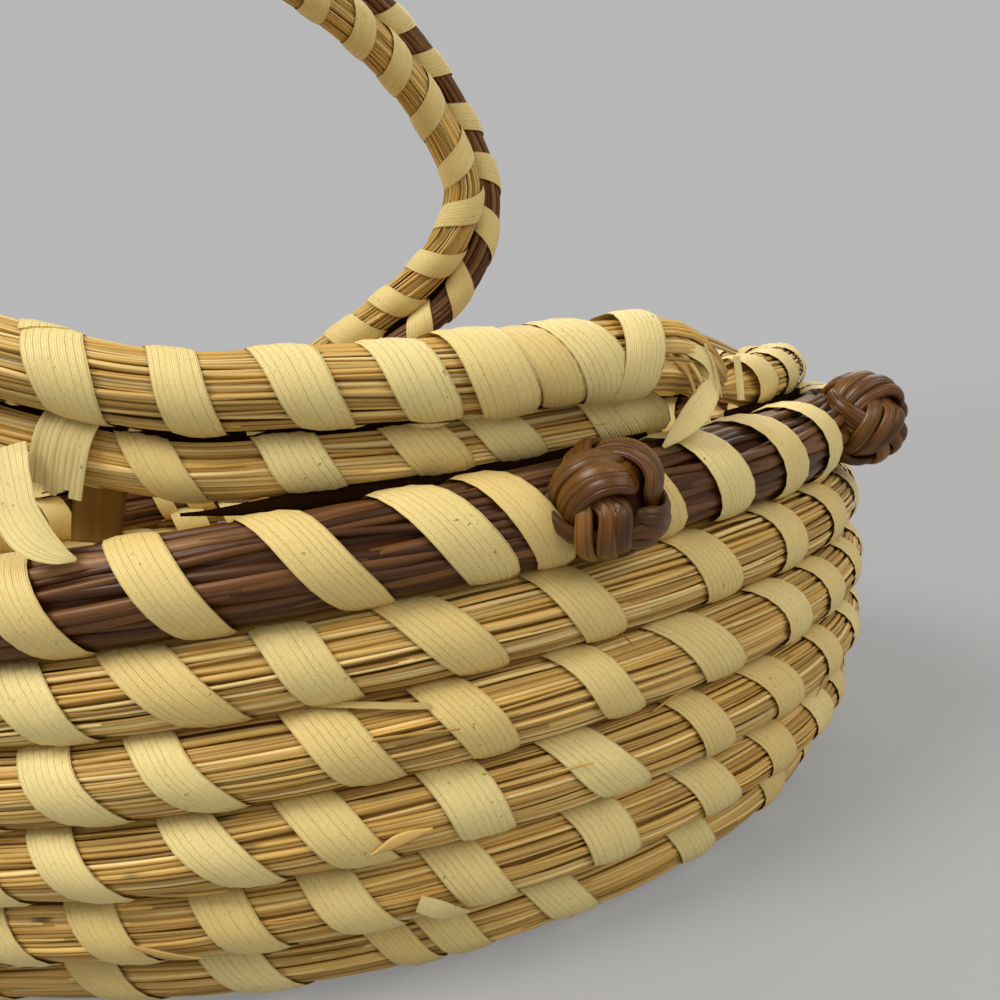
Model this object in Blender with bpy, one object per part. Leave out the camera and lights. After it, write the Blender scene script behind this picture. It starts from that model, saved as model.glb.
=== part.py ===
"""A coiled sweetgrass basket, in metres, +Z up, standing on the middle of its base.

One long grass bundle makes the flat oval base and another winds up the wall in five rows. A thicker
pine-needle row closes the wall. Two bundles lie along the rim, rise at the feet and cross over the top
as the handle, the light one inside and the pine-needle one outside. Palmetto strips sew it all together.
"""
import math

import bmesh
import bpy
import numpy as np

# Plan of the oval, on the pine row's middle line: a straight stretch between two round ends
PLAN_HALF_STRAIGHT = 0.0130
PLAN_RADIUS = 0.0765

# Grass rows of the wall and base
ROW_THICKNESS = 0.0080
ROW_GAP = 0.0005
WALL_ROWS = 5
ROW_SIDES = 6
TOUCH_GAP = 0.0003
FOOT_LIFT = 0.0012
BASE_GAP = 0.0008
BASE_FLAT_SHARE = 0.1
ROW_STATIONS_PER_TURN = 24
CORE_HALF_LENGTH = 0.0125
CORE_START = 0.0122
CORE_BEND_STATIONS = 5

# Each wall row from the lowest: how far in from the pine row and how far above the lowest it lies, as
# shares of a row's thickness, and the angle by which its section leans out with the wall's slope
WALL_SHARES = (
    (1.375, 0.000, 30), (0.688, 0.886, 21), (0.300, 1.920, 12), (0.113, 2.995, 5), (0.050, 4.074, 0),
)

# The wall row climbs to the next level over a share of a turn, on the side away from the front
CLIMB_SHARE = 0.20
CLIMB_STATION = 10
TIP_SHARE = 0.30

# Pine-needle row, with one chord for each strip that sews it
PINE_THICKNESS = 0.0106
PINE_SIDES = 8
PINE_SEAM_TURN = 0.401
STITCHES_PER_TURN = 40

# Handle coils: two tails along the rim, which rise at the feet into an arch
LIGHT_COIL_THICKNESS = 0.0081
PINE_COIL_THICKNESS = 0.0066
COIL_SIDES = 8
HANDLE_HALF_STATIONS = 44
FOOT_BACK = 0.0080
TAIL_LENGTH = 0.1090
SEAT_ANGLE = 63.5
ARCH_HALF_SPAN_EXTRA = 0.0040
ARCH_SPRING = 0.0500
ARCH_HEIGHT = 0.0480
ARCH_START = 4
ARCH_TILT = 176
ARCH_STEPS = 6

# A tail point's distance from the foot, and how far out and up the lower coil lies there from its seat on
# the pine row, as shares of the tail's length, and the angle of the light coil over the lower one
TAIL_SHARES = (
    (1.00, 0.000, 0.000, 44), (0.87, 0.000, 0.000, 52), (0.74, 0.000, 0.001, 60),
    (0.62, 0.000, 0.008, 71), (0.51, 0.000, 0.020, 76), (0.40, 0.002, 0.058, 74),
    (0.30, 0.012, 0.100, 78), (0.20, 0.030, 0.145, 90), (0.107, 0.056, 0.200, 110),
    (0.034, 0.082, 0.281, 141),
)

# The light coil's end turns down over the end of the other: ahead, out and up, and its thickness there,
# as shares of its own thickness
FOLD_SHARES = ((0.90, -0.30, -0.45, 0.60), (0.45, -0.10, -0.15, 0.85))

# Light coils that fill the rim between the end of one tail and the other foot
RIM_COIL_TO_TAIL = 0.0220
RIM_COIL_TO_FOOT = 0.0110
RIM_COIL_STATIONS = 14
RIM_COIL_TIP_STATIONS = 2

# Pine-needle knots on the outside of the pine row
KNOT_CHORDS = (0, 4)
KNOT_FIRST_TURN = 0.8885
KNOT_RADIUS = 0.0060
KNOT_OUTSET = 0.0052
KNOT_LIFT = 0.0005
KNOT_RIDGES = 7
KNOT_RIDGE_SHARE = 0.05
KNOT_RIDGE_TWIST = 2.0
KNOT_SEGMENTS = 28
KNOT_RINGS = 10

# Palmetto strips
STRIP_WIDTH = 0.0050
STRIP_THICKNESS = 0.0005
STRIP_SLANT = 0.0014
PINE_STRIP_MARGIN = 0.0016

# Binding round both handle coils: loops in each half, and where it starts and ends in that half
BINDING_LOOPS = 17
BINDING_START_SHARE = 0.329
BINDING_END_SHARE = 0.982
BINDING_LIFT = 0.0008

# Measuring a coil's gap to itself: points on each chord, and the length that counts as the same turn
GAP_POINTS = 4
OWN_TURN_LENGTH = 0.0200

TURN = 2 * math.pi
QUARTER_DEGREES = 90
SHARP_DEGREES = 50
MM_PER_METRE = 1000

# Multiplies a point or a direction to give it half a turn about the basket's upright axis
HALF_TURNED = np.array([-1, -1, 1])

MATERIALS = {
    "sweetgrass": ((0.50, 0.31, 0.10), 0.62),
    "pine_needles": ((0.11, 0.045, 0.025), 0.45),
    "palmetto": ((0.76, 0.64, 0.34), 0.55),
    "knot_needles": ((0.17, 0.06, 0.018), 0.35),
}


def clear_scene():
    """Take every object out of the scene."""
    for item in list(bpy.data.objects):
        bpy.data.objects.remove(item, do_unlink=True)


def material(name):
    """The named finish, made once."""
    found = bpy.data.materials.get(name)
    if found:
        return found
    colour, roughness = MATERIALS[name]
    made = bpy.data.materials.new(name)
    made.use_nodes = True
    shader = made.node_tree.nodes["Principled BSDF"]
    shader.inputs["Base Color"].default_value = (*colour, 1.0)
    shader.inputs["Roughness"].default_value = roughness
    shader.inputs["Metallic"].default_value = 0.0
    made.diffuse_color = (*colour, 1.0)
    return made


def unit(vectors):
    """Vectors of length one, along the last axis."""
    vectors = np.asarray(vectors, float)
    return vectors / np.linalg.norm(vectors, axis=-1, keepdims=True)


def add_object(name, body, finish):
    """One object from a closed body, given as points and faces."""
    points, faces = body
    mesh = bpy.data.meshes.new(name)
    mesh.from_pydata(points.tolist(), [], faces)
    shell = bmesh.new()
    shell.from_mesh(mesh)
    bmesh.ops.recalc_face_normals(shell, faces=shell.faces)
    shell.to_mesh(mesh)
    shell.free()
    mesh.shade_smooth()
    mesh.set_sharp_from_angle(angle=math.radians(SHARP_DEGREES))
    mesh.materials.append(material(finish))
    made = bpy.data.objects.new(name, mesh)
    bpy.context.scene.collection.objects.link(made)
    return made


def corner_radius(sides, flat_to_flat):
    """Distance from the middle of an even-sided section to its corners."""
    return flat_to_flat / 2 / math.cos(math.pi / sides)


def polygon(sides, flat_to_flat, flat_outward):
    """Corners (out, up) of an even-sided section, with a flat or a corner pointing out."""
    angles = (np.arange(sides) + (0.5 if flat_outward else 0.0)) * TURN / sides
    return corner_radius(sides, flat_to_flat) * np.stack([np.cos(angles), np.sin(angles)], axis=1)


def cut_low_corner(section, depth):
    """The section with its lowest corner cut off flat, depth above it."""
    low = int(np.argmin(section[:, 1]))
    before, corner, after = section[low - 1], section[low], section[(low + 1) % len(section)]
    cuts = [corner + (side - corner) * depth / (side[1] - corner[1]) for side in (before, after)]
    return np.vstack([section[:low], cuts, section[low + 1:]])


def tangents(path):
    """Unit direction of travel at each station of a path."""
    return unit(np.gradient(path, axis=0))


def tube(path, outward, section, scale=None):
    """A closed tube: the section (out, up) carried along the path, scaled at each station."""
    along = tangents(path)
    out = unit(outward - np.sum(outward * along, axis=1, keepdims=True) * along)
    up = np.cross(out, along)
    scale = np.ones(len(path)) if scale is None else scale
    local = section[None, :, :] * scale[:, None, None]
    rings = path[:, None, :] + local[..., :1] * out[:, None, :] + local[..., 1:] * up[:, None, :]
    sides, last = len(section), len(path) - 1
    faces = [
        (ring * sides + side, ring * sides + (side + 1) % sides,
         (ring + 1) * sides + (side + 1) % sides, (ring + 1) * sides + side)
        for ring in range(last) for side in range(sides)
    ]
    faces.append(tuple(range(sides)))
    faces.append(tuple(last * sides + side for side in range(sides)))
    return rings.reshape(-1, 3), faces


def turns_of(length):
    """The share of a turn that a length takes along the plan oval."""
    return length / (4 * PLAN_HALF_STRAIGHT + TURN * PLAN_RADIUS)


def round_turn():
    """Turns from the oval's right end to the end of the round on the far side."""
    return 0.25 - turns_of(PLAN_HALF_STRAIGHT)


def oval(turn, inset):
    """Points and outward directions on the plan oval, moved in by inset, at turns from the right end."""
    turn, inset = np.broadcast_arrays(np.asarray(turn, float), np.asarray(inset, float))
    first = round_turn()
    marks = [0, first, 0.5 - first, 0.5 + first, 1 - first, 1]
    phase = turn % 1
    angle = np.interp(phase, marks, [0, TURN / 4, TURN / 4, 0.75 * TURN, 0.75 * TURN, TURN])
    middle = PLAN_HALF_STRAIGHT * np.interp(phase, marks, [1, 1, -1, -1, 1, 1])
    out = np.stack([np.cos(angle), np.sin(angle), np.zeros_like(angle)], axis=-1)
    points = out * (PLAN_RADIUS - inset)[..., None]
    points[..., 0] += middle
    return points, out


def near_foot_turn():
    """Turns from the oval's right end to the near foot of the arch, a little before the end of the round."""
    return 0.5 + round_turn() - turns_of(FOOT_BACK)


def row_section(flat_outward):
    """Section of a grass row, six-sided."""
    return polygon(ROW_SIDES, ROW_THICKNESS, flat_outward)


def base_section():
    """Section of the base coil, flat side by side and cut flat underneath."""
    section = row_section(flat_outward=True)
    return cut_low_corner(section, BASE_FLAT_SHARE * ROW_THICKNESS)


def base_height():
    """Height of the base coil's middle above the ground."""
    return -base_section()[:, 1].min()


def row_pitch():
    """Distance from one turn to the next."""
    return ROW_THICKNESS + ROW_GAP


def wall_place(level):
    """Inset from the pine row, height and lean of a wall row's middle at a level from the lowest."""
    insets, heights, leans = np.array(WALL_SHARES).T
    levels = np.arange(WALL_ROWS)
    inset = np.interp(level, levels, insets) * ROW_THICKNESS
    height = base_height() + FOOT_LIFT + np.interp(level, levels, heights) * ROW_THICKNESS
    return inset, height, np.radians(np.interp(level, levels, leans))


def pine_height():
    """Height of the pine row's middle."""
    return wall_place(WALL_ROWS - 1)[1] + ROW_THICKNESS / 2 + TOUCH_GAP + PINE_THICKNESS / 2


def wall_route():
    """Path, outward directions and scale of the wall coil, thinned at both ends to end a row."""
    count = int((WALL_ROWS + CLIMB_SHARE) * ROW_STATIONS_PER_TURN)
    climbed = WALL_ROWS - np.arange(count, -1, -1) / ROW_STATIONS_PER_TURN
    whole = np.floor(climbed)
    rise = np.clip((climbed - whole - 1 + CLIMB_SHARE) / CLIMB_SHARE, 0, 1)
    level = whole + rise * rise * (3 - 2 * rise)
    level[-1] = WALL_ROWS
    top = WALL_ROWS - 1
    beyond = np.maximum(level - top, 0) + np.maximum(-level, 0)
    thickness = (1 - beyond) * row_pitch() - ROW_GAP
    inset, height, lean = wall_place(np.clip(level, 0, top))
    path, level_out = oval(CLIMB_STATION / ROW_STATIONS_PER_TURN + climbed, inset)
    path[:, 2] = height
    cosine, sine, upright = np.cos(lean)[:, None], np.sin(lean)[:, None], np.array([[0, 0, 1]])
    out, up = cosine * level_out - sine * upright, sine * level_out + cosine * upright
    drop = (ROW_THICKNESS - thickness) / 2 * (beyond > 0)
    path += np.where(level > top, drop, -drop)[:, None] * up
    scale = thickness / ROW_THICKNESS
    kept = scale >= TIP_SHARE
    return path[kept], out[kept], scale[kept]


def base_route():
    """Path, outward directions and scale of the base coil: a straight core folded back, then turns that
    widen at a steady rate, and a last turn thinned to fill the space left beside the wall."""
    pitch = ROW_THICKNESS + BASE_GAP
    wall_corner = corner_radius(ROW_SIDES, ROW_THICKNESS)
    outer = PLAN_RADIUS - float(wall_place(0)[0]) - wall_corner - TOUCH_GAP - ROW_THICKNESS / 2
    bend = pitch / 2
    count = int((outer - bend - pitch / 4) / pitch * ROW_STATIONS_PER_TURN)
    first = outer - pitch * count / ROW_STATIONS_PER_TURN
    passed = np.arange(1, count + ROW_STATIONS_PER_TURN) / ROW_STATIONS_PER_TURN
    beyond = np.maximum(passed - count / ROW_STATIONS_PER_TURN, 0)
    thickness = (1 - beyond) * pitch - BASE_GAP
    reach = np.where(beyond > 0, outer + (ROW_THICKNESS - thickness) / 2, first + pitch * passed)
    path, out = oval(0.25 + passed, PLAN_RADIUS - reach)
    kept = thickness >= TIP_SHARE * ROW_THICKNESS
    low = first - 2 * bend - pitch * (0.25 - round_turn())
    angles = np.linspace(-TURN / 4, TURN / 4, CORE_BEND_STATIONS)
    ends = [(-CORE_START, low), (0, low)]
    turned = [(CORE_HALF_LENGTH + bend * math.cos(a), low + bend + bend * math.sin(a)) for a in angles]
    core = np.array([(x, y, 0) for x, y in ends + turned])
    away = np.array([(0, -1, 0)] * len(ends) + [(math.cos(a), math.sin(a), 0) for a in angles])
    path, out = np.vstack([core, path[kept]]), np.vstack([away, out[kept]])
    path[:, 2] = base_height()
    scale = np.concatenate([np.ones(len(core)), thickness[kept] / ROW_THICKNESS])
    return path, out, scale


def pine_route():
    """Path and outward directions of the pine row, one loop whose ends meet end to end."""
    turn = np.arange(STITCHES_PER_TURN + 1) / STITCHES_PER_TURN
    turn[-1] -= turns_of(ROW_GAP)
    path, out = oval(PINE_SEAM_TURN + turn, 0)
    path[:, 2] = pine_height()
    return path, out


def smooth_between(stations, values, wanted):
    """Values on a smooth curve through given values, by cubic pieces with averaged slopes."""
    slopes = np.gradient(values, stations, axis=0)
    piece = np.clip(np.searchsorted(stations, wanted, side="right") - 1, 0, len(stations) - 2)
    width = (stations[piece + 1] - stations[piece])[:, None]
    share = ((wanted - stations[piece]))[:, None] / width
    return (
        (2 * share ** 3 - 3 * share ** 2 + 1) * values[piece]
        + (share ** 3 - 2 * share ** 2 + share) * width * slopes[piece]
        + (3 * share ** 2 - 2 * share ** 3) * values[piece + 1]
        + (share ** 3 - share ** 2) * width * slopes[piece + 1]
    )


def lower_coil_seat():
    """How far out and up from the pine row's middle the lower coil's middle lies, on the inner shoulder."""
    reach = corner_radius(PINE_SIDES, PINE_THICKNESS) + corner_radius(COIL_SIDES, PINE_COIL_THICKNESS)
    reach += TOUCH_GAP
    return -reach * math.cos(math.radians(SEAT_ANGLE)), reach * math.sin(math.radians(SEAT_ANGLE))


def tail_controls():
    """Points, outward directions and tilts of the near tail, from its end to the foot of the arch."""
    seat_out, seat_up = lower_coil_seat()
    half = (PINE_COIL_THICKNESS + TOUCH_GAP) / 2
    rows = []
    for along, outset, rise, tilt in TAIL_SHARES:
        turn = near_foot_turn() + turns_of(along * TAIL_LENGTH)
        lean = math.radians(tilt)
        point, out = oval(turn, -seat_out - outset * TAIL_LENGTH - half * math.cos(lean))
        point[2] = pine_height() + seat_up + rise * TAIL_LENGTH + half * math.sin(lean)
        rows.append([*point, *out, tilt])
    return rows


def arch_controls():
    """Points, outward directions and tilts of the arch, from above the near foot to its top."""
    root = oval(near_foot_turn(), 0)[0]
    away = unit(root)
    reach = np.linalg.norm(root) + ARCH_HALF_SPAN_EXTRA
    middle = np.array([0, 0, pine_height() + ARCH_SPRING])
    rows = []
    for step in range(ARCH_STEPS + 1):
        share = step / ARCH_STEPS
        angle = math.radians(ARCH_START + (QUARTER_DEGREES - ARCH_START) * share)
        point = middle + away * reach * math.cos(angle)
        point[2] += ARCH_HEIGHT * math.sin(angle)
        out = unit([*(away[:2] * math.cos(angle) / reach), math.sin(angle) / ARCH_HEIGHT])
        rows.append([*point, *out, ARCH_TILT + (2 * QUARTER_DEGREES - ARCH_TILT) * share])
    return rows


def handle_frames():
    """The line where the handle's coils touch, its directions, and the direction to the light coil."""
    controls = np.array(tail_controls() + arch_controls())
    steps = np.linalg.norm(np.diff(controls[:, :3], axis=0), axis=1)
    stations = np.concatenate([[0], np.cumsum(steps)])
    wanted = np.linspace(0, stations[-1], HANDLE_HALF_STATIONS + 1)
    near = smooth_between(stations, controls, wanted)
    path, out, tilt = near[:, :3], near[:, 3:6], np.radians(near[:, 6:7])
    path[-1, :2] = 0
    along = tangents(np.vstack([path, path[-2:-1] * HALF_TURNED]))[:-1]
    out = unit(out - np.sum(out * along, axis=1, keepdims=True) * along)
    across = np.cross(along, out)
    toward = np.cos(tilt) * out + np.sin(tilt) * across
    far_path, far_toward = path[-2::-1] * HALF_TURNED, toward[-2::-1] * HALF_TURNED
    return np.vstack([path, far_path]), np.vstack([toward, far_toward])


def light_coil_route():
    """Path, facing directions and scale of the handle's light coil, with both ends turned down."""
    middle, toward = handle_frames()
    path = middle + toward * (LIGHT_COIL_THICKNESS + TOUCH_GAP) / 2
    ahead, away, above, thickness = np.array(FOLD_SHARES).T[..., None]
    out = unit(path[0] * [1, 1, 0])
    shifts = ahead * unit(path[0] - path[1]) + away * out + above * [0, 0, 1]
    near = path[0] + shifts * LIGHT_COIL_THICKNESS
    faced = np.repeat(toward[:1], len(near), axis=0)
    scale = np.concatenate([thickness.ravel(), np.ones(len(middle)), thickness.ravel()[::-1]])
    path = np.vstack([near, path, near[::-1] * HALF_TURNED])
    toward = np.vstack([faced, toward, faced[::-1] * HALF_TURNED])
    return path, toward, scale


def pine_coil_route():
    """Path and facing directions of the handle's pine-needle coil, a station short at both ends."""
    middle, toward = handle_frames()
    path = middle - toward * (PINE_COIL_THICKNESS + TOUCH_GAP) / 2
    return path[1:-1], toward[1:-1]


def rim_coil_route():
    """Path, outward directions and scale of the light coil on the rim beside the far foot."""
    first = near_foot_turn() - 1 + turns_of(TAIL_LENGTH + RIM_COIL_TO_TAIL)
    last = near_foot_turn() - 0.5 - turns_of(RIM_COIL_TO_FOOT)
    tilt = math.radians(TAIL_SHARES[0][-1])
    seat_out, seat_up = lower_coil_seat()
    path, out = oval(np.linspace(first, last, RIM_COIL_STATIONS), -seat_out)
    path[:, 2] = pine_height() + seat_up
    facing = out * math.cos(tilt) + np.array([0, 0, math.sin(tilt)])
    place = np.minimum(np.arange(RIM_COIL_STATIONS), np.arange(RIM_COIL_STATIONS)[::-1])
    scale = TIP_SHARE + (1 - TIP_SHARE) * np.clip(place / RIM_COIL_TIP_STATIONS, 0, 1)
    return path, facing, scale


def band(path, outward, chord, outline):
    """A flat strip laid along an outline (inner and outer lines) at the middle of one chord of a path."""
    start, end = path[chord], path[chord + 1]
    along = unit(end - start)
    out = unit(outward[chord] + outward[chord + 1])
    out = unit(out - np.dot(out, along) * along)
    up = np.cross(out, along)
    count = len(outline[0])
    lean = np.linspace(1, -1, count)[:, None] * STRIP_SLANT
    points = []
    for line in outline:
        laid = (start + end) / 2 + line[:, :1] * out + line[:, 1:] * up - lean * along
        points.append(laid - along * STRIP_WIDTH / 2)
        points.append(laid + along * STRIP_WIDTH / 2)
    loops = [[side * count + place for side in (0, 1, 3, 2)] for place in range(count)]
    faces = [tuple(loops[0]), tuple(loops[-1])]
    for here, there in zip(loops, loops[1:]):
        faces.extend((here[s], here[(s + 1) % 4], there[(s + 1) % 4], there[s]) for s in range(4))
    return np.vstack(points), faces


def lifted(corners, lift):
    """Corners of an open outline moved out by lift, with mitred corners."""
    corners = np.asarray(corners, float)
    edges = unit(np.diff(corners, axis=0))
    normals = np.stack([-edges[:, 1], edges[:, 0]], axis=1)
    if np.sum(normals * (corners[1:] + corners[:-1])) < 0:
        normals = -normals
    moved = [corners[0] + normals[0] * lift]
    for index in range(1, len(corners) - 1):
        both = normals[index - 1] + normals[index]
        moved.append(corners[index] + both * lift / (1 + np.dot(normals[index - 1], normals[index])))
    moved.append(corners[-1] + normals[-1] * lift)
    return np.array(moved)


def strip_outline(corners, margin):
    """Inner and outer lines of a strip over some corners, stopping short of the end corners."""
    corners = np.array(corners, float)
    corners[0] += unit(corners[1] - corners[0]) * margin
    corners[-1] += unit(corners[-2] - corners[-1]) * margin
    return lifted(corners, TOUCH_GAP), lifted(corners, TOUCH_GAP + STRIP_THICKNESS)


def knot_chords():
    """Chords of the pine row that carry a knot."""
    first = round((KNOT_FIRST_TURN - PINE_SEAM_TURN) * STITCHES_PER_TURN - 0.5)
    half = STITCHES_PER_TURN // 2
    near = [first + step for step in KNOT_CHORDS]
    return [(chord + side * half) % STITCHES_PER_TURN for side in (0, 1) for chord in near]


def pine_strips():
    """Strips over the outer side of the pine row, left out where a knot sits."""
    path, out = pine_route()
    section = polygon(PINE_SIDES, PINE_THICKNESS, flat_outward=True)
    corners = [section[1], section[0], section[-1], section[-2]]
    outline = strip_outline(corners, PINE_STRIP_MARGIN)
    left_out = set(knot_chords())
    chords = [chord for chord in range(STITCHES_PER_TURN) if chord not in left_out]
    return [band(path, out, chord, outline) for chord in chords]


def pair_outline(lift):
    """Outline round both handle coils, lift clear of their corners."""
    corners = []
    for thickness, side in ((LIGHT_COIL_THICKNESS, 1), (PINE_COIL_THICKNESS, -1)):
        radius = (corner_radius(COIL_SIDES, thickness) + lift) / math.cos(math.pi / COIL_SIDES)
        place = side * (thickness + TOUCH_GAP) / 2
        for quarter in (-2, -1, 0, 1, 2):
            angle = quarter * TURN / COIL_SIDES
            corners.append((place + side * radius * math.cos(angle), side * radius * math.sin(angle)))
    return np.array(corners)


def binding(path, toward, from_station, to_station):
    """A strip wound round both handle coils as one unbroken ribbon, between two stations of the handle."""
    stations = np.arange(len(path))
    inner, outer = pair_outline(BINDING_LIFT), pair_outline(BINDING_LIFT + STRIP_THICKNESS)
    corners = len(inner)
    count = BINDING_LOOPS * corners
    place = np.linspace(from_station, to_station, count + 1)

    def between(values):
        return np.stack([np.interp(place, stations, values[:, axis]) for axis in range(3)], axis=1)

    middle, facing, along = between(path), between(toward), unit(between(tangents(path)))
    facing = unit(facing - np.sum(facing * along, axis=1, keepdims=True) * along)
    across = np.cross(facing, along)
    corner = np.arange(count + 1) % corners
    rings = []
    for edge, side in ((inner, -1), (inner, 1), (outer, 1), (outer, -1)):
        out = edge[corner]
        rings.append(middle + out[:, :1] * facing + out[:, 1:] * across + side * along * STRIP_WIDTH / 2)
    points = np.stack(rings, axis=1).reshape(-1, 3)
    faces = [
        (4 * ring + side, 4 * ring + (side + 1) % 4, 4 * ring + 4 + (side + 1) % 4, 4 * ring + 4 + side)
        for ring in range(count) for side in range(4)
    ]
    faces += [(0, 1, 2, 3), tuple(4 * count + side for side in range(4))]
    return points, faces


def bindings():
    """The near and the far binding of the handle, which end either side of the arch's top."""
    path, toward = handle_frames()
    start, end = BINDING_START_SHARE * HANDLE_HALF_STATIONS, BINDING_END_SHARE * HANDLE_HALF_STATIONS
    last = len(path) - 1
    return binding(path, toward, start, end), binding(path, toward, last - start, last - end)


def knot_body(chord):
    """A ball of wound needles with slanting ridges, about the middle of a pine row chord."""
    path, out = pine_route()
    along = unit(path[chord + 1] - path[chord])
    away = unit(out[chord] + out[chord + 1])
    away = unit(away - np.dot(away, along) * along)
    up = np.cross(away, along)
    middle = (path[chord] + path[chord + 1]) / 2 + away * KNOT_OUTSET + up * KNOT_LIFT
    heights = np.linspace(0, math.pi, KNOT_RINGS + 1)[1:-1, None]
    rounds = np.arange(KNOT_SEGMENTS)[None, :] * TURN / KNOT_SEGMENTS
    ridge = np.cos(KNOT_RIDGES * rounds + KNOT_RIDGE_TWIST * heights)
    radius = KNOT_RADIUS * (1 + KNOT_RIDGE_SHARE * ridge * np.sin(heights))
    local = radius[..., None] * np.stack(
        [np.sin(heights) * np.cos(rounds), np.sin(heights) * np.sin(rounds),
         np.cos(heights) * np.ones_like(rounds)], axis=-1)
    points = local[..., :1] * along + local[..., 1:2] * up + local[..., 2:] * away
    points = (middle + points).reshape(-1, 3)
    count, rings = KNOT_SEGMENTS, KNOT_RINGS - 1
    faces = [
        (row * count + place, row * count + (place + 1) % count,
         (row + 1) * count + (place + 1) % count, (row + 1) * count + place)
        for row in range(rings - 1) for place in range(count)
    ]
    poles = np.array([middle + away * KNOT_RADIUS, middle - away * KNOT_RADIUS])
    first = len(points)
    faces += [(first, (place + 1) % count, place) for place in range(count)]
    last = (rings - 1) * count
    faces += [(first + 1, last + place, last + (place + 1) % count) for place in range(count)]
    return np.vstack([points, poles]), faces


def seat_knot(knot, chord):
    """Cut the pine row's own section out of a knot, with the gap that touching pieces keep."""
    path, out = pine_route()
    along = unit(path[chord + 1] - path[chord]) * PINE_THICKNESS
    middle = (path[chord] + path[chord + 1]) / 2
    line = np.array([middle - along, middle + along])
    facing = np.array([out[chord] + out[chord + 1]] * 2)
    section = polygon(PINE_SIDES, PINE_THICKNESS + 2 * TOUCH_GAP, flat_outward=True)
    cutter = add_object(knot.name + "_seat", tube(line, facing, section), "pine_needles")
    cutter.hide_render = True
    cutter.display_type = "WIRE"
    cut = knot.modifiers.new("seat", "BOOLEAN")
    cut.operation = "DIFFERENCE"
    cut.solver = "EXACT"
    cut.object = cutter


def least_own_gap(path, thickness):
    """Least clear distance between the turns of a coil, measured between points along its middle line."""
    stations = np.arange(len(path))
    fine = np.arange((len(path) - 1) * GAP_POINTS + 1) / GAP_POINTS
    points = np.stack([np.interp(fine, stations, path[:, axis]) for axis in range(3)], axis=1)
    half = np.interp(fine, stations, np.broadcast_to(thickness, len(path))) / 2
    steps = np.linalg.norm(np.diff(points, axis=0), axis=1)
    along = np.concatenate([[0], np.cumsum(steps)])
    least = math.inf
    for index, point in enumerate(points):
        other = along > along[index] + OWN_TURN_LENGTH
        if other.any():
            clear = np.linalg.norm(points[other] - point, axis=1) - half[other] - half[index]
            least = min(least, float(clear.min()))
    return least


def add_wound_coil(name, route, section):
    """A coil in one unbroken length, with its least gap to itself printed."""
    path, out, scale = route
    add_object(name, tube(path, out, section, scale), "sweetgrass")
    least = least_own_gap(path, ROW_THICKNESS * scale) * MM_PER_METRE
    print(name, "least gap to itself, mm:", round(least, 2))


def add_rows():
    """The base, the wall and the pine-needle row, with their strips and knots."""
    add_wound_coil("base_coil", base_route(), base_section())
    add_wound_coil("wall_coil", wall_route(), row_section(flat_outward=False))
    path, out = pine_route()
    add_object("pine_row", tube(path, out, polygon(PINE_SIDES, PINE_THICKNESS, True)), "pine_needles")
    for number, chord in enumerate(knot_chords(), start=1):
        seat_knot(add_object(f"pine_knot_{number}", knot_body(chord), "knot_needles"), chord)
    for number, strip in enumerate(pine_strips(), start=1):
        add_object(f"pine_strip_{number:02d}", strip, "palmetto")


def add_handle():
    """The handle's two coils with their bindings, and the coils on the rim beside its feet."""
    light = polygon(COIL_SIDES, LIGHT_COIL_THICKNESS, True)
    thin = polygon(COIL_SIDES, PINE_COIL_THICKNESS, True)
    path, toward, scale = light_coil_route()
    add_object("handle_light_coil", tube(path, toward, light, scale), "sweetgrass")
    path, toward = pine_coil_route()
    add_object("handle_pine_coil", tube(path, toward, thin), "pine_needles")
    path, facing, scale = rim_coil_route()
    add_object("rim_coil_right", tube(path, facing, thin, scale), "sweetgrass")
    add_object("rim_coil_left", tube(path * HALF_TURNED, facing * HALF_TURNED, thin, scale), "sweetgrass")
    near, far = bindings()
    add_object("handle_binding_near", near, "palmetto")
    add_object("handle_binding_far", far, "palmetto")


if __name__ == "__main__":
    clear_scene()
    add_rows()
    add_handle()
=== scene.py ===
"""Looks of a coiled sweetgrass basket: strands, sewn strips, needle knots and finishes.

Every row is a bundle of separate strands carried along the row's path. Palmetto strips wind round each row
as ribbons laid on its surface. All lengths are in metres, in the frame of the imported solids.
"""

import logging
import math
from dataclasses import dataclass, field
from enum import Enum

import bpy
import numpy as np
from mathutils import Matrix, Vector

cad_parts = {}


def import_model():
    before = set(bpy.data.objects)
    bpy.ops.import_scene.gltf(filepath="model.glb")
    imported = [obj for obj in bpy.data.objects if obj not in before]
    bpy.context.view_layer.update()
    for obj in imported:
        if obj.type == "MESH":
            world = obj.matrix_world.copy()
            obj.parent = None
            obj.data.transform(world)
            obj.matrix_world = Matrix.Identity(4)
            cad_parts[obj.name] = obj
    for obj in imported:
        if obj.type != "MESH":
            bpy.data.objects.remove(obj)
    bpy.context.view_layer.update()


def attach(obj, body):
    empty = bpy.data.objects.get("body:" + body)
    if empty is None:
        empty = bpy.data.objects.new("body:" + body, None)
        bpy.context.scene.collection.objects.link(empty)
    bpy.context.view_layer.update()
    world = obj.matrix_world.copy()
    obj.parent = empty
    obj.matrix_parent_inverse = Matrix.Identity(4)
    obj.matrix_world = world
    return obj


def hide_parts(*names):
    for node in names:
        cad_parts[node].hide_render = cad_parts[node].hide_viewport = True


Array = np.ndarray
Random = np.random.Generator
Socket = bpy.types.NodeSocket
Material = bpy.types.Material
Triple = tuple[float, float, float]
Values = tuple[float, ...]

TURN = 2 * math.pi
BODY = "root"
HALF_TURNED = np.array([-1.0, -1.0, 1.0])
MILLIMETRE = 0.001
WAVE_REACH = 1.9
CREASE = 50.0
CORE_SHARE = 0.80
CORE_SIDES = 14
POINTS_A_MARK = 8

log = logging.getLogger("basket")


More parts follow.
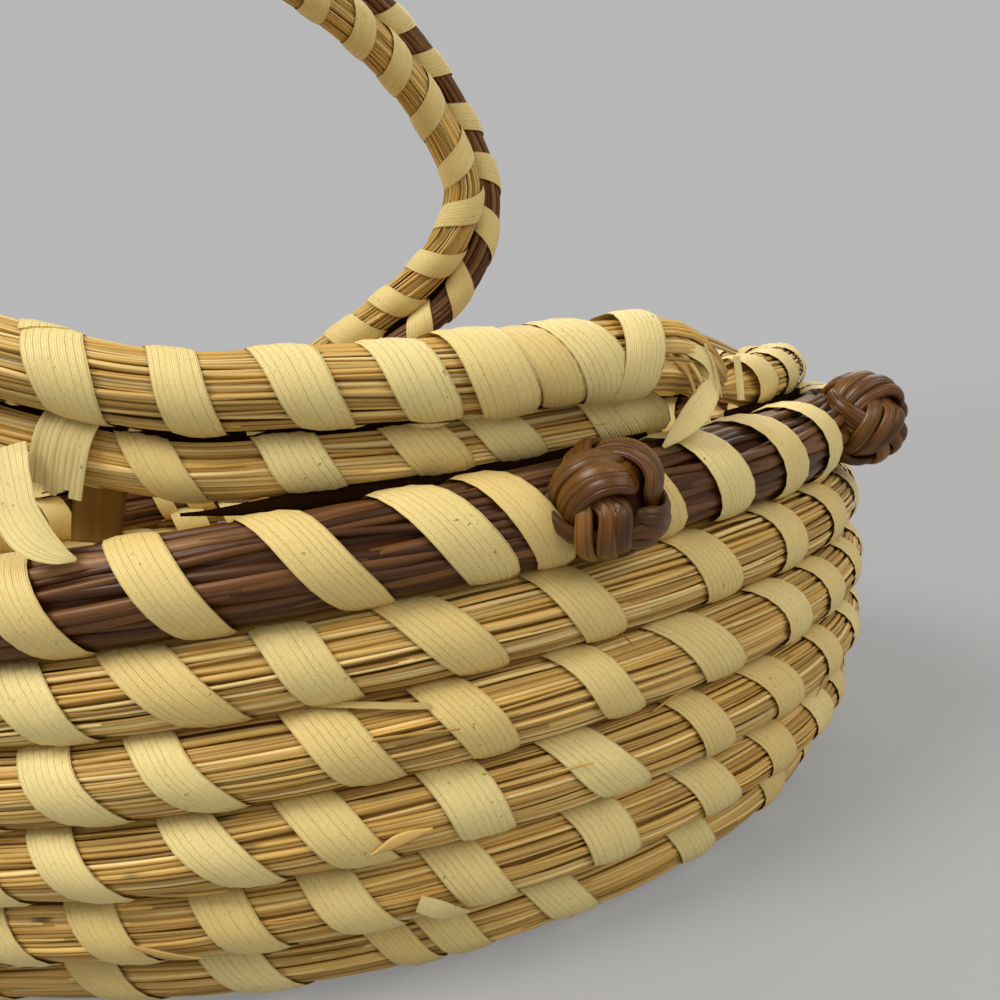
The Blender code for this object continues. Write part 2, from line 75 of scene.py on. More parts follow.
class Slot(Enum):
    """Material slots of the record."""

    GRASS = "sweetgrass"
    NEEDLES = "pine_needles"
    PALMETTO = "palmetto"
    KNOT = "knot_needles"


# Arrays and smooth variation


def unit(vectors: Array) -> Array:
    """Vectors of length one, along the last axis."""
    return vectors / np.linalg.norm(vectors, axis=-1, keepdims=True)


def smoothstep(value: Array) -> Array:
    """Rises from 0 to 1 with level ends, for a value from 0 to 1."""
    held = np.clip(value, 0, 1)
    return held * held * (3 - 2 * held)


def waves(rng: Random, place: Array, count: int, lengths: tuple[float, float]) -> Array:
    """Smooth random curves along a line: the sum of three sines with random lengths and phases.

    Args:
        rng: source of the random draws.
        place: distances along the line.
        count: number of curves.
        lengths: shortest and longest wave.

    Returns:
        One row per curve, with values of about -1 to 1.
    """
    pitch = TURN / rng.uniform(*lengths, (3, count, 1))
    phase = rng.uniform(0, TURN, (3, count, 1))
    weight = rng.uniform(0.3, 1.0, (3, count, 1))
    return np.sum(weight * np.sin(pitch * place + phase), axis=0) / WAVE_REACH


def distances_of(path: Array) -> Array:
    """Distances along a path of points, from its start."""
    steps = np.linalg.norm(np.diff(path, axis=0), axis=1)
    return np.concatenate([[0.0], np.cumsum(steps)])


def travel_of(path: Array) -> Array:
    """Travel directions along a path of points."""
    return unit(np.gradient(path, axis=0))


def side_marks(count: int) -> Array:
    """V where each side of a ring with so many corners starts and ends, as two rows."""
    corners = np.arange(count)
    return np.stack([corners, corners + 1]) / count


def rings_of(count: int, first: Array, second: Array) -> Array:
    """Corners of oval rings: a cosine times the first direction plus a sine times the second."""
    turn = np.arange(count) * TURN / count
    return np.cos(turn)[:, None] * first[..., None, :] + np.sin(turn)[:, None] * second[..., None, :]


# Meshes


@dataclass
class Shell:
    """Closed surfaces gathered as arrays: points, faces by size, UV corners and a tint for each point."""

    points: list[Array] = field(default_factory=list)
    faces: list[Array] = field(default_factory=list)
    corners: list[Array] = field(default_factory=list)
    tints: list[Array] = field(default_factory=list)
    slots: list[int] = field(default_factory=list)
    used: int = 0

    def sweep(self, rings: Array, along: Array, around: Array, tint: Array, slot: int = 0) -> None:
        """Add tubes from rings of points, which turn the same way round as a screw driven along the tube.

        Args:
            rings: tube, station, corner and axis.
            along: U at each tube and station.
            around: V where each side of the section starts and ends, as two rows.
            tint: one value for each tube.
            slot: place of the material on the object.
        """
        tubes, stations, sides = rings.shape[:3]
        index = self.used + np.arange(tubes * stations * sides).reshape(tubes, stations, sides)
        here, there = index[:, :-1], index[:, 1:]
        faces = np.stack([here, np.roll(here, -1, 2), np.roll(there, -1, 2), there], axis=-1)
        (u0, u1), (v0, v1) = (along[:, :-1, None], along[:, 1:, None]), around
        u = np.stack(np.broadcast_arrays(u0, u0, u1, u1, here)[:4], axis=-1)
        v = np.stack(np.broadcast_arrays(v0, v1, v1, v0, here)[:4], axis=-1)
        self.add(faces.reshape(-1, 4), np.stack([u, v], axis=-1), slot)
        for end, order in ((0, -1), (-1, 1)):
            flat = np.broadcast_arrays(along[:, end, None], around[0][None, ::order])
            self.add(index[:, end, ::order], np.stack(flat, axis=-1), slot)
        self.points.append(rings.reshape(-1, 3))
        self.tints.append(np.repeat(tint, stations * sides))
        self.used += tubes * stations * sides

    def add(self, faces: Array, uv: Array, slot: int) -> None:
        """Add faces with their UV corners."""
        self.faces.append(faces)
        self.corners.append(uv.reshape(-1, 2))
        self.slots.append(slot)

    def make(self, name: str, materials: list[Material], sharp: float) -> bpy.types.Object:
        """Turn the gathered surfaces into an object.

        Args:
            name: the object's name.
            materials: finishes, in the order of the slots.
            sharp: edges bent by more than this many degrees stay crisp; 0 keeps every edge smooth.

        Returns:
            The object, at the origin.
        """
        mesh = bpy.data.meshes.new(name)
        points = np.concatenate(self.points).astype(np.float32)
        sizes = np.concatenate([np.full(len(f), f.shape[1]) for f in self.faces])
        loops = np.concatenate([f.ravel() for f in self.faces])
        slots = np.concatenate([np.full(len(f), s) for f, s in zip(self.faces, self.slots)])
        starts = np.concatenate([[0], np.cumsum(sizes)[:-1]])
        for items, count, layers in (
            (mesh.vertices, len(points), {"co": points.ravel()}),
            (mesh.loops, len(loops), {"vertex_index": loops.astype(np.int32)}),
            (mesh.polygons, len(sizes), {
                "loop_start": starts.astype(np.int32), "loop_total": sizes.astype(np.int32),
                "material_index": slots.astype(np.int32), "use_smooth": np.ones(len(sizes), bool)}),
        ):
            items.add(count)
            for key, data in layers.items():
                items.foreach_set(key, data)
        mesh.uv_layers.new(name="lay").data.foreach_set("uv", np.concatenate(self.corners).ravel())
        tint = mesh.attributes.new("tint", "FLOAT", "POINT")
        tint.data.foreach_set("value", np.concatenate(self.tints).astype(np.float32))
        mesh.update(calc_edges=True)
        mesh.validate()
        if sharp:
            mesh.set_sharp_from_angle(angle=math.radians(sharp))
        for finish in materials:
            mesh.materials.append(finish)
        piece = bpy.data.objects.new(name, mesh)
        bpy.context.scene.collection.objects.link(piece)
        return piece


def dress(piece: bpy.types.Object, slot: Slot, *nodes: str) -> None:
    """Let a piece ride on the basket and stand for some solids."""
    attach(piece, BODY)
    if nodes:
        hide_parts(*nodes)
    log.info("%s: %d faces", piece.name, len(piece.data.polygons))


# Finishes


class Nodes:
    """Short ways to add shader nodes to one material."""

    def __init__(self, name: str) -> None:
        """Start a material with a Principled shader."""
        self.material = bpy.data.materials.new(name)
        self.material.use_nodes = True
        self.tree = self.material.node_tree
        self.shader = self.tree.nodes["Principled BSDF"]

    def add(self, kind: str, **settings: object) -> bpy.types.Node:
        """Add a node and set its own properties."""
        node = self.tree.nodes.new(kind)
        for key, value in settings.items():
            setattr(node, key, value)
        return node

    def feed(self, socket: Socket, value: object) -> None:
        """Link a socket to another, or set its value."""
        if isinstance(value, Socket):
            self.tree.links.new(value, socket)
        else:
            socket.default_value = value

    def math(self, operation: str, *values: object) -> Socket:
        """A Math node's result."""
        node = self.add("ShaderNodeMath", operation=operation)
        for socket, value in zip(node.inputs, values):
            self.feed(socket, value)
        return node.outputs[0]

    def times(self, first: object, second: object) -> Socket:
        """Two values multiplied."""
        return self.math("MULTIPLY", first, second)

    def ripple(self, value: object) -> Socket:
        """A wave from 0 to 1 that touches 0 at each whole number."""
        return self.math("ABSOLUTE", self.math("SINE", self.times(value, math.pi)))

    def sheen(self, roughness: float, specular: float) -> None:
        """Set the shader's roughness and specular level."""
        self.shader.inputs["Roughness"].default_value = roughness
        self.shader.inputs["Specular IOR Level"].default_value = specular

    def remap(self, value: object, low: float, high: float, start: float, end: float) -> Socket:
        """A value carried smoothly from one range to another, held at its ends."""
        node = self.add("ShaderNodeMapRange", interpolation_type="SMOOTHSTEP")
        for socket, item in zip(node.inputs, (value, low, high, start, end)):
            self.feed(socket, item)
        return node.outputs[0]

    def noise(self, vector: object, scale: float, detail: float = 2.0, rough: float = 0.5) -> Socket:
        """A noise texture's value."""
        node = self.add("ShaderNodeTexNoise")
        self.feed(node.inputs["Vector"], vector)
        node.inputs["Scale"].default_value = scale
        node.inputs["Detail"].default_value = detail
        node.inputs["Roughness"].default_value = rough
        return node.outputs[0]

    def vector(self, x: object, y: object, z: object) -> Socket:
        """Three values joined as a vector."""
        node = self.add("ShaderNodeCombineXYZ")
        for socket, value in zip(node.inputs, (x, y, z)):
            self.feed(socket, value)
        return node.outputs[0]

    def ramp(self, value: object, stops: tuple[tuple[float, Triple], ...]) -> Socket:
        """A colour ramp's colour."""
        node = self.add("ShaderNodeValToRGB")
        elements = node.color_ramp.elements
        while len(elements) < len(stops):
            elements.new(0.5)
        for element, (position, colour) in zip(elements, stops):
            element.position = position
            element.color = (*colour, 1.0)
        self.feed(node.inputs[0], value)
        return node.outputs[0]

    def mix(self, share: object, first: object, second: object, blend: str = "MIX") -> Socket:
        """Two colours mixed by a share."""
        node = self.add("ShaderNodeMix", data_type="RGBA", blend_type=blend)
        self.feed(node.inputs[0], share)
        for socket, value in ((node.inputs[6], first), (node.inputs[7], second)):
            self.feed(socket, (*value, 1.0) if isinstance(value, tuple) else value)
        return node.outputs[2]

    def bump(self, height: object, depth: float, strength: float) -> None:
        """Feed a height to the shader's normal."""
        node = self.add("ShaderNodeBump")
        node.inputs["Distance"].default_value = depth
        node.inputs["Strength"].default_value = strength
        self.feed(node.inputs["Height"], height)
        self.feed(self.shader.inputs["Normal"], node.outputs[0])

    def lay(self) -> tuple[Socket, Socket, Socket]:
        """U and V of the piece, and its tint."""
        split = self.add("ShaderNodeSeparateXYZ")
        self.feed(split.inputs[0], self.add("ShaderNodeUVMap", uv_map="lay").outputs[0])
        tint = self.add("ShaderNodeAttribute", attribute_name="tint")
        return split.outputs[0], split.outputs[1], tint.outputs["Fac"]

    def object_place(self) -> Socket:
        """Object coordinates."""
        return self.add("ShaderNodeTexCoord").outputs["Object"]


@dataclass(frozen=True)
class StrandFinish:
    """Dry stems or needles: a colour for each strand, streaks along it, fine fibres and darker marks."""

    name: str
    stops: tuple[tuple[float, Triple], ...]
    roughness: float
    specular: float
    mark: Triple
    mark_from: float
    streak_low: float = 0.62
    streak_high: float = 1.18
    ridges: float = 0.0

    def build(self) -> Material:
        """Make the material."""
        n = Nodes(self.name)
        u, v, tint = n.lay()
        seed = n.times(tint, 97.0)
        slow = n.noise(n.vector(n.times(u, 22.0), seed, 0.0), 1.0, 3.0)
        streak = n.remap(slow, 0.3, 0.7, self.streak_low, self.streak_high)
        fine = n.noise(n.vector(n.times(u, 60.0), n.times(v, 5.0), seed), 1.0, 4.0, 0.65)
        grain = n.remap(fine, 0.3, 0.75, 0.82, 1.12)
        tone = n.times(streak, grain)
        shaded = n.mix(1.0, n.ramp(tint, self.stops), n.vector(tone, tone, tone), "MULTIPLY")
        spots = n.noise(n.vector(n.times(u, 75.0), n.times(seed, 1.7), 3.0), 1.0, 2.0)
        marks = n.remap(spots, self.mark_from, self.mark_from + 0.07, 0.0, 0.85)
        height = fine
        if self.ridges:
            # Grooves between the needles side by side: darkened towards the mark colour as painted shade in
            # the slits, and sunk in the bump.
            bent = n.math("ADD", n.times(v, self.ridges), n.times(slow, 0.8))
            groove = n.remap(n.ripple(bent), 0.0, 0.45, 1.0, 0.0)
            shaded = n.mix(n.times(groove, 0.4), shaded, self.mark)
            height = n.math("SUBTRACT", fine, groove)
        n.feed(n.shader.inputs["Base Color"], n.mix(marks, shaded, self.mark))
        n.sheen(self.roughness, self.specular)
        n.bump(height, 0.00012, 0.6)
        return n.material


@dataclass(frozen=True)
class PalmettoFinish:
    """Split palmetto leaf: pale cream with fine ribs, a faint cross grain, specks and brown edges."""

    name: str
    pale: Triple = (0.86, 0.705, 0.30)
    warm: Triple = (0.79, 0.585, 0.21)
    groove: Triple = (0.50, 0.35, 0.11)
    speck: Triple = (0.20, 0.11, 0.03)
    ribs: float = 8.0

    def build(self) -> Material:
        """Make the material."""
        n = Nodes(self.name)
        u, v, tint = n.lay()
        seed = n.times(tint, 53.0)
        where = n.object_place()
        drift = n.noise(n.vector(n.times(u, 60.0), seed, 0.0), 1.0, 1.0)
        across = n.math("ADD", n.times(v, self.ribs), n.times(drift, 0.35))
        presence = n.noise(n.vector(n.times(u, 30.0), n.times(v, 9.0), seed), 1.0, 1.0)
        line = n.remap(n.ripple(across), 0.0, 0.42, 1.0, 0.0)
        line = n.times(line, n.remap(presence, 0.32, 0.62, 0.25, 1.0))
        thin = n.remap(n.ripple(n.times(across, 3.0)), 0.0, 0.7, 1.0, 0.0)
        patch = n.noise(where, 260.0, 3.0, 0.6)
        tone = n.math("ADD", n.times(tint, 0.75), n.times(patch, 0.4))
        fibres = n.noise(n.vector(n.times(u, 90.0), n.times(v, 34.0), seed), 1.0, 3.0, 0.6)
        rung = n.noise(n.vector(n.times(u, 2600.0), n.times(v, 14.0), seed), 1.0, 1.0)
        edge = n.math("ABSOLUTE", n.math("SUBTRACT", v, 0.5))
        speck = n.remap(n.noise(where, 1500.0, 1.0), 0.70, 0.76, 0.0, 0.7)
        rare = n.remap(n.noise(where, 130.0, 1.0), 0.50, 0.64, 0.0, 1.0)
        leaf = self.pale
        for share, colour in (
            (n.remap(tone, 0.2, 0.9, 0.0, 1.0), self.warm),
            (n.remap(fibres, 0.35, 0.75, 0.0, 0.30), self.warm),
            (n.remap(rung, 0.5, 0.75, 0.0, 0.22), self.groove),
            (n.times(line, 0.15), self.groove),
            (n.times(thin, 0.14), self.groove),
            (n.remap(edge, 0.45, 0.5, 0.0, 0.55), self.groove),
            (n.times(speck, rare), self.speck),
        ):
            leaf = n.mix(share, leaf, colour)
        n.feed(n.shader.inputs["Base Color"], leaf)
        n.sheen(0.50, 0.35)
        height = n.math("SUBTRACT", n.times(fibres, 0.4), n.times(line, 0.8))
        height = n.math("SUBTRACT", height, n.times(thin, 0.35))
        n.bump(n.math("ADD", height, n.times(rung, 0.18)), 0.00016, 0.65)
        return n.material


GRASS = StrandFinish(
    "sweetgrass_stems",
    ((0.0, (0.36, 0.185, 0.036)), (0.14, (0.57, 0.330, 0.072)), (0.6, (0.75, 0.475, 0.125)),
     (1.0, (0.92, 0.69, 0.28))),
    roughness=0.46, specular=0.4, mark=(0.06, 0.028, 0.01), mark_from=0.67,
    streak_low=0.68, streak_high=1.15,
)
# Painted shade: a darker grass finish for the core tubes, the base plate and the joint tubes, which stand
# for the shaded gaps between strands and rows.
GRASS_CORE_SHADE = StrandFinish(
    "sweetgrass_shade",
    ((0.0, (0.24, 0.125, 0.025)), (1.0, (0.36, 0.20, 0.045))),
    roughness=0.8, specular=0.1, mark=(0.08, 0.04, 0.012), mark_from=0.75,
)
NEEDLES = StrandFinish(
    "pine_needles_dried",
    ((0.0, (0.055, 0.017, 0.003)), (0.35, (0.105, 0.038, 0.009)), (0.75, (0.165, 0.067, 0.018)),
     (1.0, (0.24, 0.118, 0.045))),
    roughness=0.38, specular=0.25, mark=(0.27, 0.16, 0.09), mark_from=0.74,
    streak_low=0.6, streak_high=1.3,
)
# Painted shade: a darker needle finish for the pine row's core tube and the knots' inner balls, which stand
# for the shaded gaps between needles.
NEEDLE_CORE_SHADE = StrandFinish(
    "pine_needles_shade",
    ((0.0, (0.045, 0.013, 0.005)), (1.0, (0.075, 0.026, 0.01))),
    roughness=0.8, specular=0.1, mark=(0.03, 0.01, 0.005), mark_from=0.8,
)
SHADE = StrandFinish(
    "needles_in_shade",
    ((0.0, (0.010, 0.004, 0.0015)), (1.0, (0.016, 0.006, 0.002))),
    roughness=1.0, specular=0.0, mark=(0.006, 0.002, 0.001), mark_from=0.8,
)
KNOT_NEEDLES = StrandFinish(
    "knot_needles_wound",
    ((0.0, (0.085, 0.029, 0.004)), (0.5, (0.145, 0.055, 0.008)), (1.0, (0.22, 0.094, 0.017))),
    roughness=0.33, specular=0.34, mark=(0.03, 0.009, 0.002), mark_from=0.66,
    streak_low=0.55, streak_high=1.3, ridges=6.0,
)
PALMETTO = PalmettoFinish("palmetto_leaf")


class Look(Enum):
    """What a piece shows: its slot of the record, and its finishes in the order of the mesh's slots."""

    STEMS = (Slot.GRASS, ("grass", "grass_core"))
    FIBRES = (Slot.GRASS, ("grass",))
    NEEDLES = (Slot.NEEDLES, ("needles", "needle_core"))
    JOINTS = (Slot.NEEDLES, ("needles", "shade"))
    KNOT = (Slot.KNOT, ("knot", "needle_core"))
    LEAF = (Slot.PALMETTO, ("palmetto",))


@dataclass
class Finishes:
    """The materials, each made once."""

    grass: Material
    grass_core: Material
    needles: Material
    needle_core: Material
    shade: Material
    knot: Material
    palmetto: Material

    @classmethod
    def build(cls) -> "Finishes":
        """Make every material."""
        made = (GRASS, GRASS_CORE_SHADE, NEEDLES, NEEDLE_CORE_SHADE, SHADE, KNOT_NEEDLES, PALMETTO)
        return cls(*(finish.build() for finish in made))

    def show(self, shell: Shell, name: str, look: Look, *nodes: str) -> None:
        """Turn a shell into a named piece with a look, which stands for some solids."""
        slot, names = look.value
        sharp = CREASE if look is Look.LEAF else 0.0
        dress(shell.make(name, [getattr(self, finish) for finish in names], sharp), slot, *nodes)


# Paths


@dataclass
class Line:
    """A path with an outward direction at each point, square to it."""

    points: Array
    out: Array

    def __post_init__(self) -> None:
        """Work out travel directions, the third direction and distances."""
        self.along = travel_of(self.points)
        square = self.out - np.sum(self.out * self.along, axis=1, keepdims=True) * self.along
        self.out = unit(square)
        self.up = np.cross(self.out, self.along)
        self.distance = distances_of(self.points)

    @property
    def length(self) -> float:
        """Length of the path."""
        return float(self.distance[-1])

    def at(self, place: Array) -> tuple[Array, Array, Array, Array]:
        """Point, outward, up and travel directions at distances along the path, by straight interpolation.

        Past an end, the point goes on straight ahead.
        """
        place = np.asarray(place, float)
        point, out, up, along = (
            np.stack([np.interp(place, self.distance, values[:, axis]) for axis in range(3)], -1)
            for values in (self.points, self.out, self.up, self.along))
        beyond = place - np.clip(place, 0, self.length)
        return point + beyond[..., None] * along, unit(out), unit(up), unit(along)

    def spot(self, place: float) -> tuple[Array, Array, Array, Array]:
        """Point, outward, up and travel directions at one distance."""
        return tuple(values[0] for values in self.at(np.array([place])))

    def turned_over(self) -> "Line":
        """The line half a turn round the basket's upright axis."""
        return Line(self.points * HALF_TURNED, self.out * HALF_TURNED)

    def piece(self, start: float, end: float, step: float) -> "Line":
        """The stretch between two distances, with a point every step or so."""
        count = max(2, int(math.ceil((end - start) / step)) + 1)
        points, out, _, _ = self.at(np.linspace(start, end, count))
        return Line(points, out)


@dataclass(frozen=True)
class Plan:
    """The oval seen from above: a straight stretch between two round ends, and curves parallel to it."""

    half_straight: float = 0.0130
    radius: float = 0.0765

    @property
    def length(self) -> float:
        """Length of the oval."""
        return 4 * self.half_straight + TURN * self.radius

    @property
    def foot(self) -> float:
        """Turns from the right end to the end of the round on the far side."""
        return 0.25 - self.half_straight / self.length

    def points(self, turn: Array, inset: Array) -> tuple[Array, Array]:
        """Points and outward directions at turns from the right end, moved in by inset."""
        turn, inset = np.broadcast_arrays(np.asarray(turn, float), np.asarray(inset, float))
        marks = [0, self.foot, 0.5 - self.foot, 0.5 + self.foot, 1 - self.foot, 1]
        phase = turn % 1
        angle = np.interp(phase, marks, [0, TURN / 4, TURN / 4, 0.75 * TURN, 0.75 * TURN, TURN])
        middle = self.half_straight * np.interp(phase, marks, [1, 1, -1, -1, 1, 1])
        out = np.stack([np.cos(angle), np.sin(angle), np.zeros_like(angle)], axis=-1)
        points = out * (self.radius - inset)[..., None]
        points[..., 0] += middle
        return points, out


def facing_at(angle: Array, out: Array, up: Array) -> Array:
    """Directions at angles from outward towards up."""
    return np.cos(angle)[..., None] * out + np.sin(angle)[..., None] * up


@dataclass(frozen=True)
class Section:
    """A bundle's oval section: half its size outward and upward."""

    half_out: float
    half_up: float

    @classmethod
    def round(cls, width: float) -> "Section":
        """A round section."""
        return cls(width / 2, width / 2)

    def surface(self, line: Line, place: Array, angle: Array, lift: Array) -> Array:
        """Points on the bundle: out by half_out times a cosine, up by half_up times a sine, plus a lift.

        Args:
            line: the bundle's middle line.
            place: distances along it.
            angle: angles round it, from outward towards up.
            lift: how far outside the section, the same way round.

        Returns:
            Points, shaped as place and angle are, with an axis for x, y and z.
        """
        points, out, up, _ = line.at(place)
        far, high = (self.half_out + lift)[..., None], (self.half_up + lift)[..., None]
        return points + facing_at(angle, far * out, high * up)


# Strands


@dataclass(frozen=True)
class Strands:
    """How a bundle's strands lie.

    They wander round the bundle and dive under its surface in waves, a share of them lies a layer under the
    others, and all twist by an angle per metre. Where the bundle ends in a tip they get thinner.
    """

    count: int
    thickness: float
    wander: float
    dive: float
    wave: tuple[float, float]
    sides: int = 5
    vary: float = 0.25
    under: float = 0.3
    twist: float = 1.5
    uneven: float = 0.3
    thickness_range: tuple[float, float] = (0.55, 1.7)
    tip_thickness: float = 1.6

    def lay_out(
        self, line: Line, section: Section, rng: Random, pinch: Array | None, scale: Array | None,
    ) -> tuple[Array, Array, Array, Array]:
        """Carry strands along a bundle, each at its own slowly changing angle and depth under the surface.

        Args:
            line: the bundle's middle line, with a point for each station.
            section: the bundle's section.
            rng: source of the random draws.
            pinch: distances along the line where strips draw the bundle in.
            scale: the bundle's thickness at each station, as a share.

        Returns:
            Rings, distances, sides and tints, as a shell's sweep takes them.
        """
        place = line.distance
        scale = np.ones(len(place)) if scale is None else scale
        uneven = rng.uniform(-self.uneven, self.uneven, self.count)
        angle = (np.arange(self.count) + uneven) * TURN / self.count
        rng.shuffle(angle)
        angle = angle[:, None] + self.wander * waves(rng, place, self.count, self.wave) + self.twist * place
        level = rng.uniform(0, 1, self.count) < self.under
        depth = self.dive * (0.5 + 0.5 * waves(rng, place, self.count, self.wave) + level[:, None])
        sizes = (1 + self.vary * rng.normal(0, 1, self.count)).clip(*self.thickness_range)
        radius = self.thickness / 2 * sizes
        if pinch is not None:
            near = (place[None, :] + LEAN * wrapped(angle))[..., None] - pinch
            depth = depth + PINCH_DEPTH * np.exp(-(near / PINCH_REACH) ** 2).sum(-1)
        reach_out = (section.half_out - radius[:, None] - depth) * scale
        reach_up = (section.half_up - radius[:, None] - depth) * scale
        facing = facing_at(angle, line.out, line.up)
        far, high = reach_out[..., None] * line.out, reach_up[..., None] * line.up
        middle = line.points + facing_at(angle, far, high)
        side = np.cross(line.along[None], facing)
        thick = radius[:, None] * np.clip(scale * self.tip_thickness, 0, 1)
        rings = middle[:, :, None] + thick[..., None, None] * rings_of(self.sides, facing, side)
        start = rng.uniform(0, 1, (self.count, 1))
        return rings, place[None] + start, side_marks(self.sides), rng.uniform(0, 1, self.count)


def wrapped(angle: Array) -> Array:
    """An angle brought to the range from minus a half turn to a half turn."""
    return (angle + math.pi) % TURN - math.pi


def cubic(start: Array, leave: Array, end: Array, arrive: Array, t: Array) -> Array:
    """The cubic that leaves a start and arrives at an end with given slopes, at shares t of the way."""
    first = (2 * t ** 3 - 3 * t ** 2 + 1) * start + (t ** 3 - 2 * t ** 2 + t) * leave
    return first + (3 * t ** 2 - 2 * t ** 3) * end + (t ** 3 - t ** 2) * arrive


def threaded(marks: Array, count: int) -> Array:
    """A smooth curve through marks, with the same number of points between each two."""
    slopes = np.gradient(marks, axis=0)
    place = np.linspace(0, len(marks) - 1, count)
    piece = np.minimum(place.astype(int), len(marks) - 2)
    t = (place - piece)[:, None]
    return cubic(marks[piece], slopes[piece], marks[piece + 1], slopes[piece + 1], t)


def softened(values: Array, passes: int) -> Array:
    """Rows of values averaged with their neighbours again and again, the ends held."""
    for _ in range(passes):
        middle = (values[:-2] + 2 * values[1:-1] + values[2:]) / 4
        values = np.vstack([values[:1], middle, values[-1:]])
    return values


def core(
    shell: Shell, line: Line, section: Section, share: float = 1.0, scale: Array | None = None,
) -> None:
    """Add a plain tube in the piece's second, dark finish: painted shade that closes the gaps between a
    bundle's strands or between two rows.
    """
    size = share * (np.ones((len(line.points), 1)) if scale is None else scale[:, None])
    ring = rings_of(CORE_SIDES, size * section.half_out * line.out, -size * section.half_up * line.up)
    rings = line.points[:, None] + ring
    shell.sweep(rings[None], line.distance[None], side_marks(CORE_SIDES), np.array([0.5]), slot=1)


def bundle(
    line: Line, section: Section, strands: Strands, rng: Random,
    places: Array | None = None, scale: Array | None = None, share: float = CORE_SHARE,
) -> Shell:
    """A shell with a bundle's strands and the dark tube inside them, painted shade in the gaps."""
    shell = Shell()
    shell.sweep(*strands.lay_out(line, section, rng, places, scale))
    core(shell, line, section, share, scale)
    return shell


JOINT_SECTION = Section(0.0008, 0.0005)
JOINT_PAST = 0.0003
JOINT_SCALES = (0.75, 2.2)
JOINT_TIP = 0.1


def joint(shell: Shell, coil: Line, half: float, row: Line, other: float, fade: float = 0.0) -> None:
    """Close the slit between a coil and the row it lies on, with a thin dark tube as high as the gap:
    painted shade in the slit.

    Args:
        shell: where the tube goes.
        coil: the coil's middle line.
        half: half the coil's thickness.
        row: the row's middle line, with close points.
        other: half the row's thickness.
        fade: length at the coil's end over which the tube thins out.
    """
    apart = np.linalg.norm(coil.points[:, None] - row.points[None], axis=-1)
    nearest = row.points[apart.argmin(axis=1)]
    reach = apart.min(axis=1)[:, None]
    gap = reach - half - other
    toward = (nearest - coil.points) / reach
    middle = Line(coil.points + toward * (half + gap / 2), toward)
    scale = np.clip((gap[:, 0] / 2 + JOINT_PAST) / JOINT_SECTION.half_out, *JOINT_SCALES)
    if fade:
        scale = scale * np.clip((coil.length - coil.distance) / fade, JOINT_TIP, 1)
    core(shell, middle, JOINT_SECTION, scale=scale)


# Strips

LEAN = 0.0025
LEAN_INSIDE = 0.0015
PINCH_DEPTH = 0.00020
PINCH_REACH = 0.0037
STRIP_JITTER = 0.0007
FREE_SHOULDER = 0.3
FREE_HEIGHTS = (0.00030, 0.00026, 0.00015, 0.0, 0.00015, 0.00026)
FIBRE_SIDES = 5
ASKEW = (0.31, -0.95, 0.05)


def strip_corners(shoulder: float) -> tuple[Array, Array]:
    """A strip's six corners as shares across its width, and V where each of its sides starts and ends.

    The corners are the crown, a shoulder, an edge, the middle of the underside, an edge and a shoulder.
    """
    across = np.array([0.0, shoulder, 0.5, 0.0, -0.5, -shoulder])
    return across, 0.5 + np.stack([across, np.roll(across, -1)])


@dataclass(frozen=True)
class Ribbon:
    """A palmetto strip's own section: its width, thickness and crown."""

    width: float = 0.0052
    thickness: float = 0.00030
    crown: float = 0.00012
    shoulder: float = 0.27
    edge_share: float = 0.55
    shoulder_share: float = 0.7

    def lay(
        self, shell: Shell, line: Line, section: Section, place: Array, angle: Array,
        width: Array, lift: Array, tint: Array,
    ) -> None:
        """Lay strips on a bundle's surface, each point of a strip's section put on the surface by itself.

        The strip's side lies square to its travel on the unrolled surface, whose axes are the distance
        along the bundle and the angle times the bundle's mean radius.

        Args:
            shell: where the tubes go.
            line: the bundle's middle line.
            section: the bundle's section.
            place: strip by station, distance along the line.
            angle: strip by station, angle round the bundle.
            width: strip by station, as a share of the ribbon's width.
            lift: strip by station, height over the surface.
            tint: one value for each strip.
        """
        mean = (section.half_out + section.half_up) / 2
        ahead = np.gradient(place, axis=1)
        turned = np.gradient(angle, axis=1) * mean
        size = np.hypot(ahead, turned)
        side_along, side_round = turned / size, -ahead / size
        across, around = strip_corners(self.shoulder)
        edge = self.thickness * self.edge_share
        shoulder = self.thickness + self.crown * self.shoulder_share
        height = np.array([self.thickness + self.crown, shoulder, edge, 0.0, edge, shoulder])
        spread = across * self.width * width[..., None]
        at = place[..., None] + spread * side_along[..., None]
        turn = angle[..., None] + spread * side_round[..., None] / mean
        rings = section.surface(line, at, turn, lift[..., None] + height)
        along = np.concatenate([np.zeros((len(place), 1)), np.cumsum(size[:, 1:], axis=1)], axis=1)
        shell.sweep(rings, along, around, tint)


def free_ribbon(shell: Shell, path: Array, facing: Array, width: Array, tint: float, slot: int = 0) -> None:
    """A flat strip in the air, from points, the way its face looks at each, its widths, tint and slot."""
    travel = travel_of(path)
    right = unit(np.cross(travel, facing))
    face = np.cross(right, travel)
    across, around = strip_corners(FREE_SHOULDER)
    wide, high = across * width[:, None], np.array(FREE_HEIGHTS)[:, None]
    rings = path[:, None] + wide[..., None] * right[:, None] + high * face[:, None]
    shell.sweep(rings[None], distances_of(path)[None] + tint, around, np.array([tint]), slot)


def fibre(shell: Shell, path: Array, thickness: Array, tint: float) -> None:
    """A round strand in the air, from points and its thickness at each."""
    travel = travel_of(path)
    face = unit(np.cross(travel, ASKEW))
    ring = rings_of(FIBRE_SIDES, face, np.cross(travel, face))
    rings = path[:, None] + thickness[:, None, None] / 2 * ring
    shell.sweep(rings[None], distances_of(path)[None] + tint, side_marks(FIBRE_SIDES), np.array([tint]))


def spaced(length: float, spacing: float, first: float, rng: Random) -> Array:
    """Distances at an even spacing along a length, each moved a little."""
    count = int((length - first) / spacing)
    return first + (np.arange(count) + 0.5) * spacing + rng.normal(0, STRIP_JITTER, count)


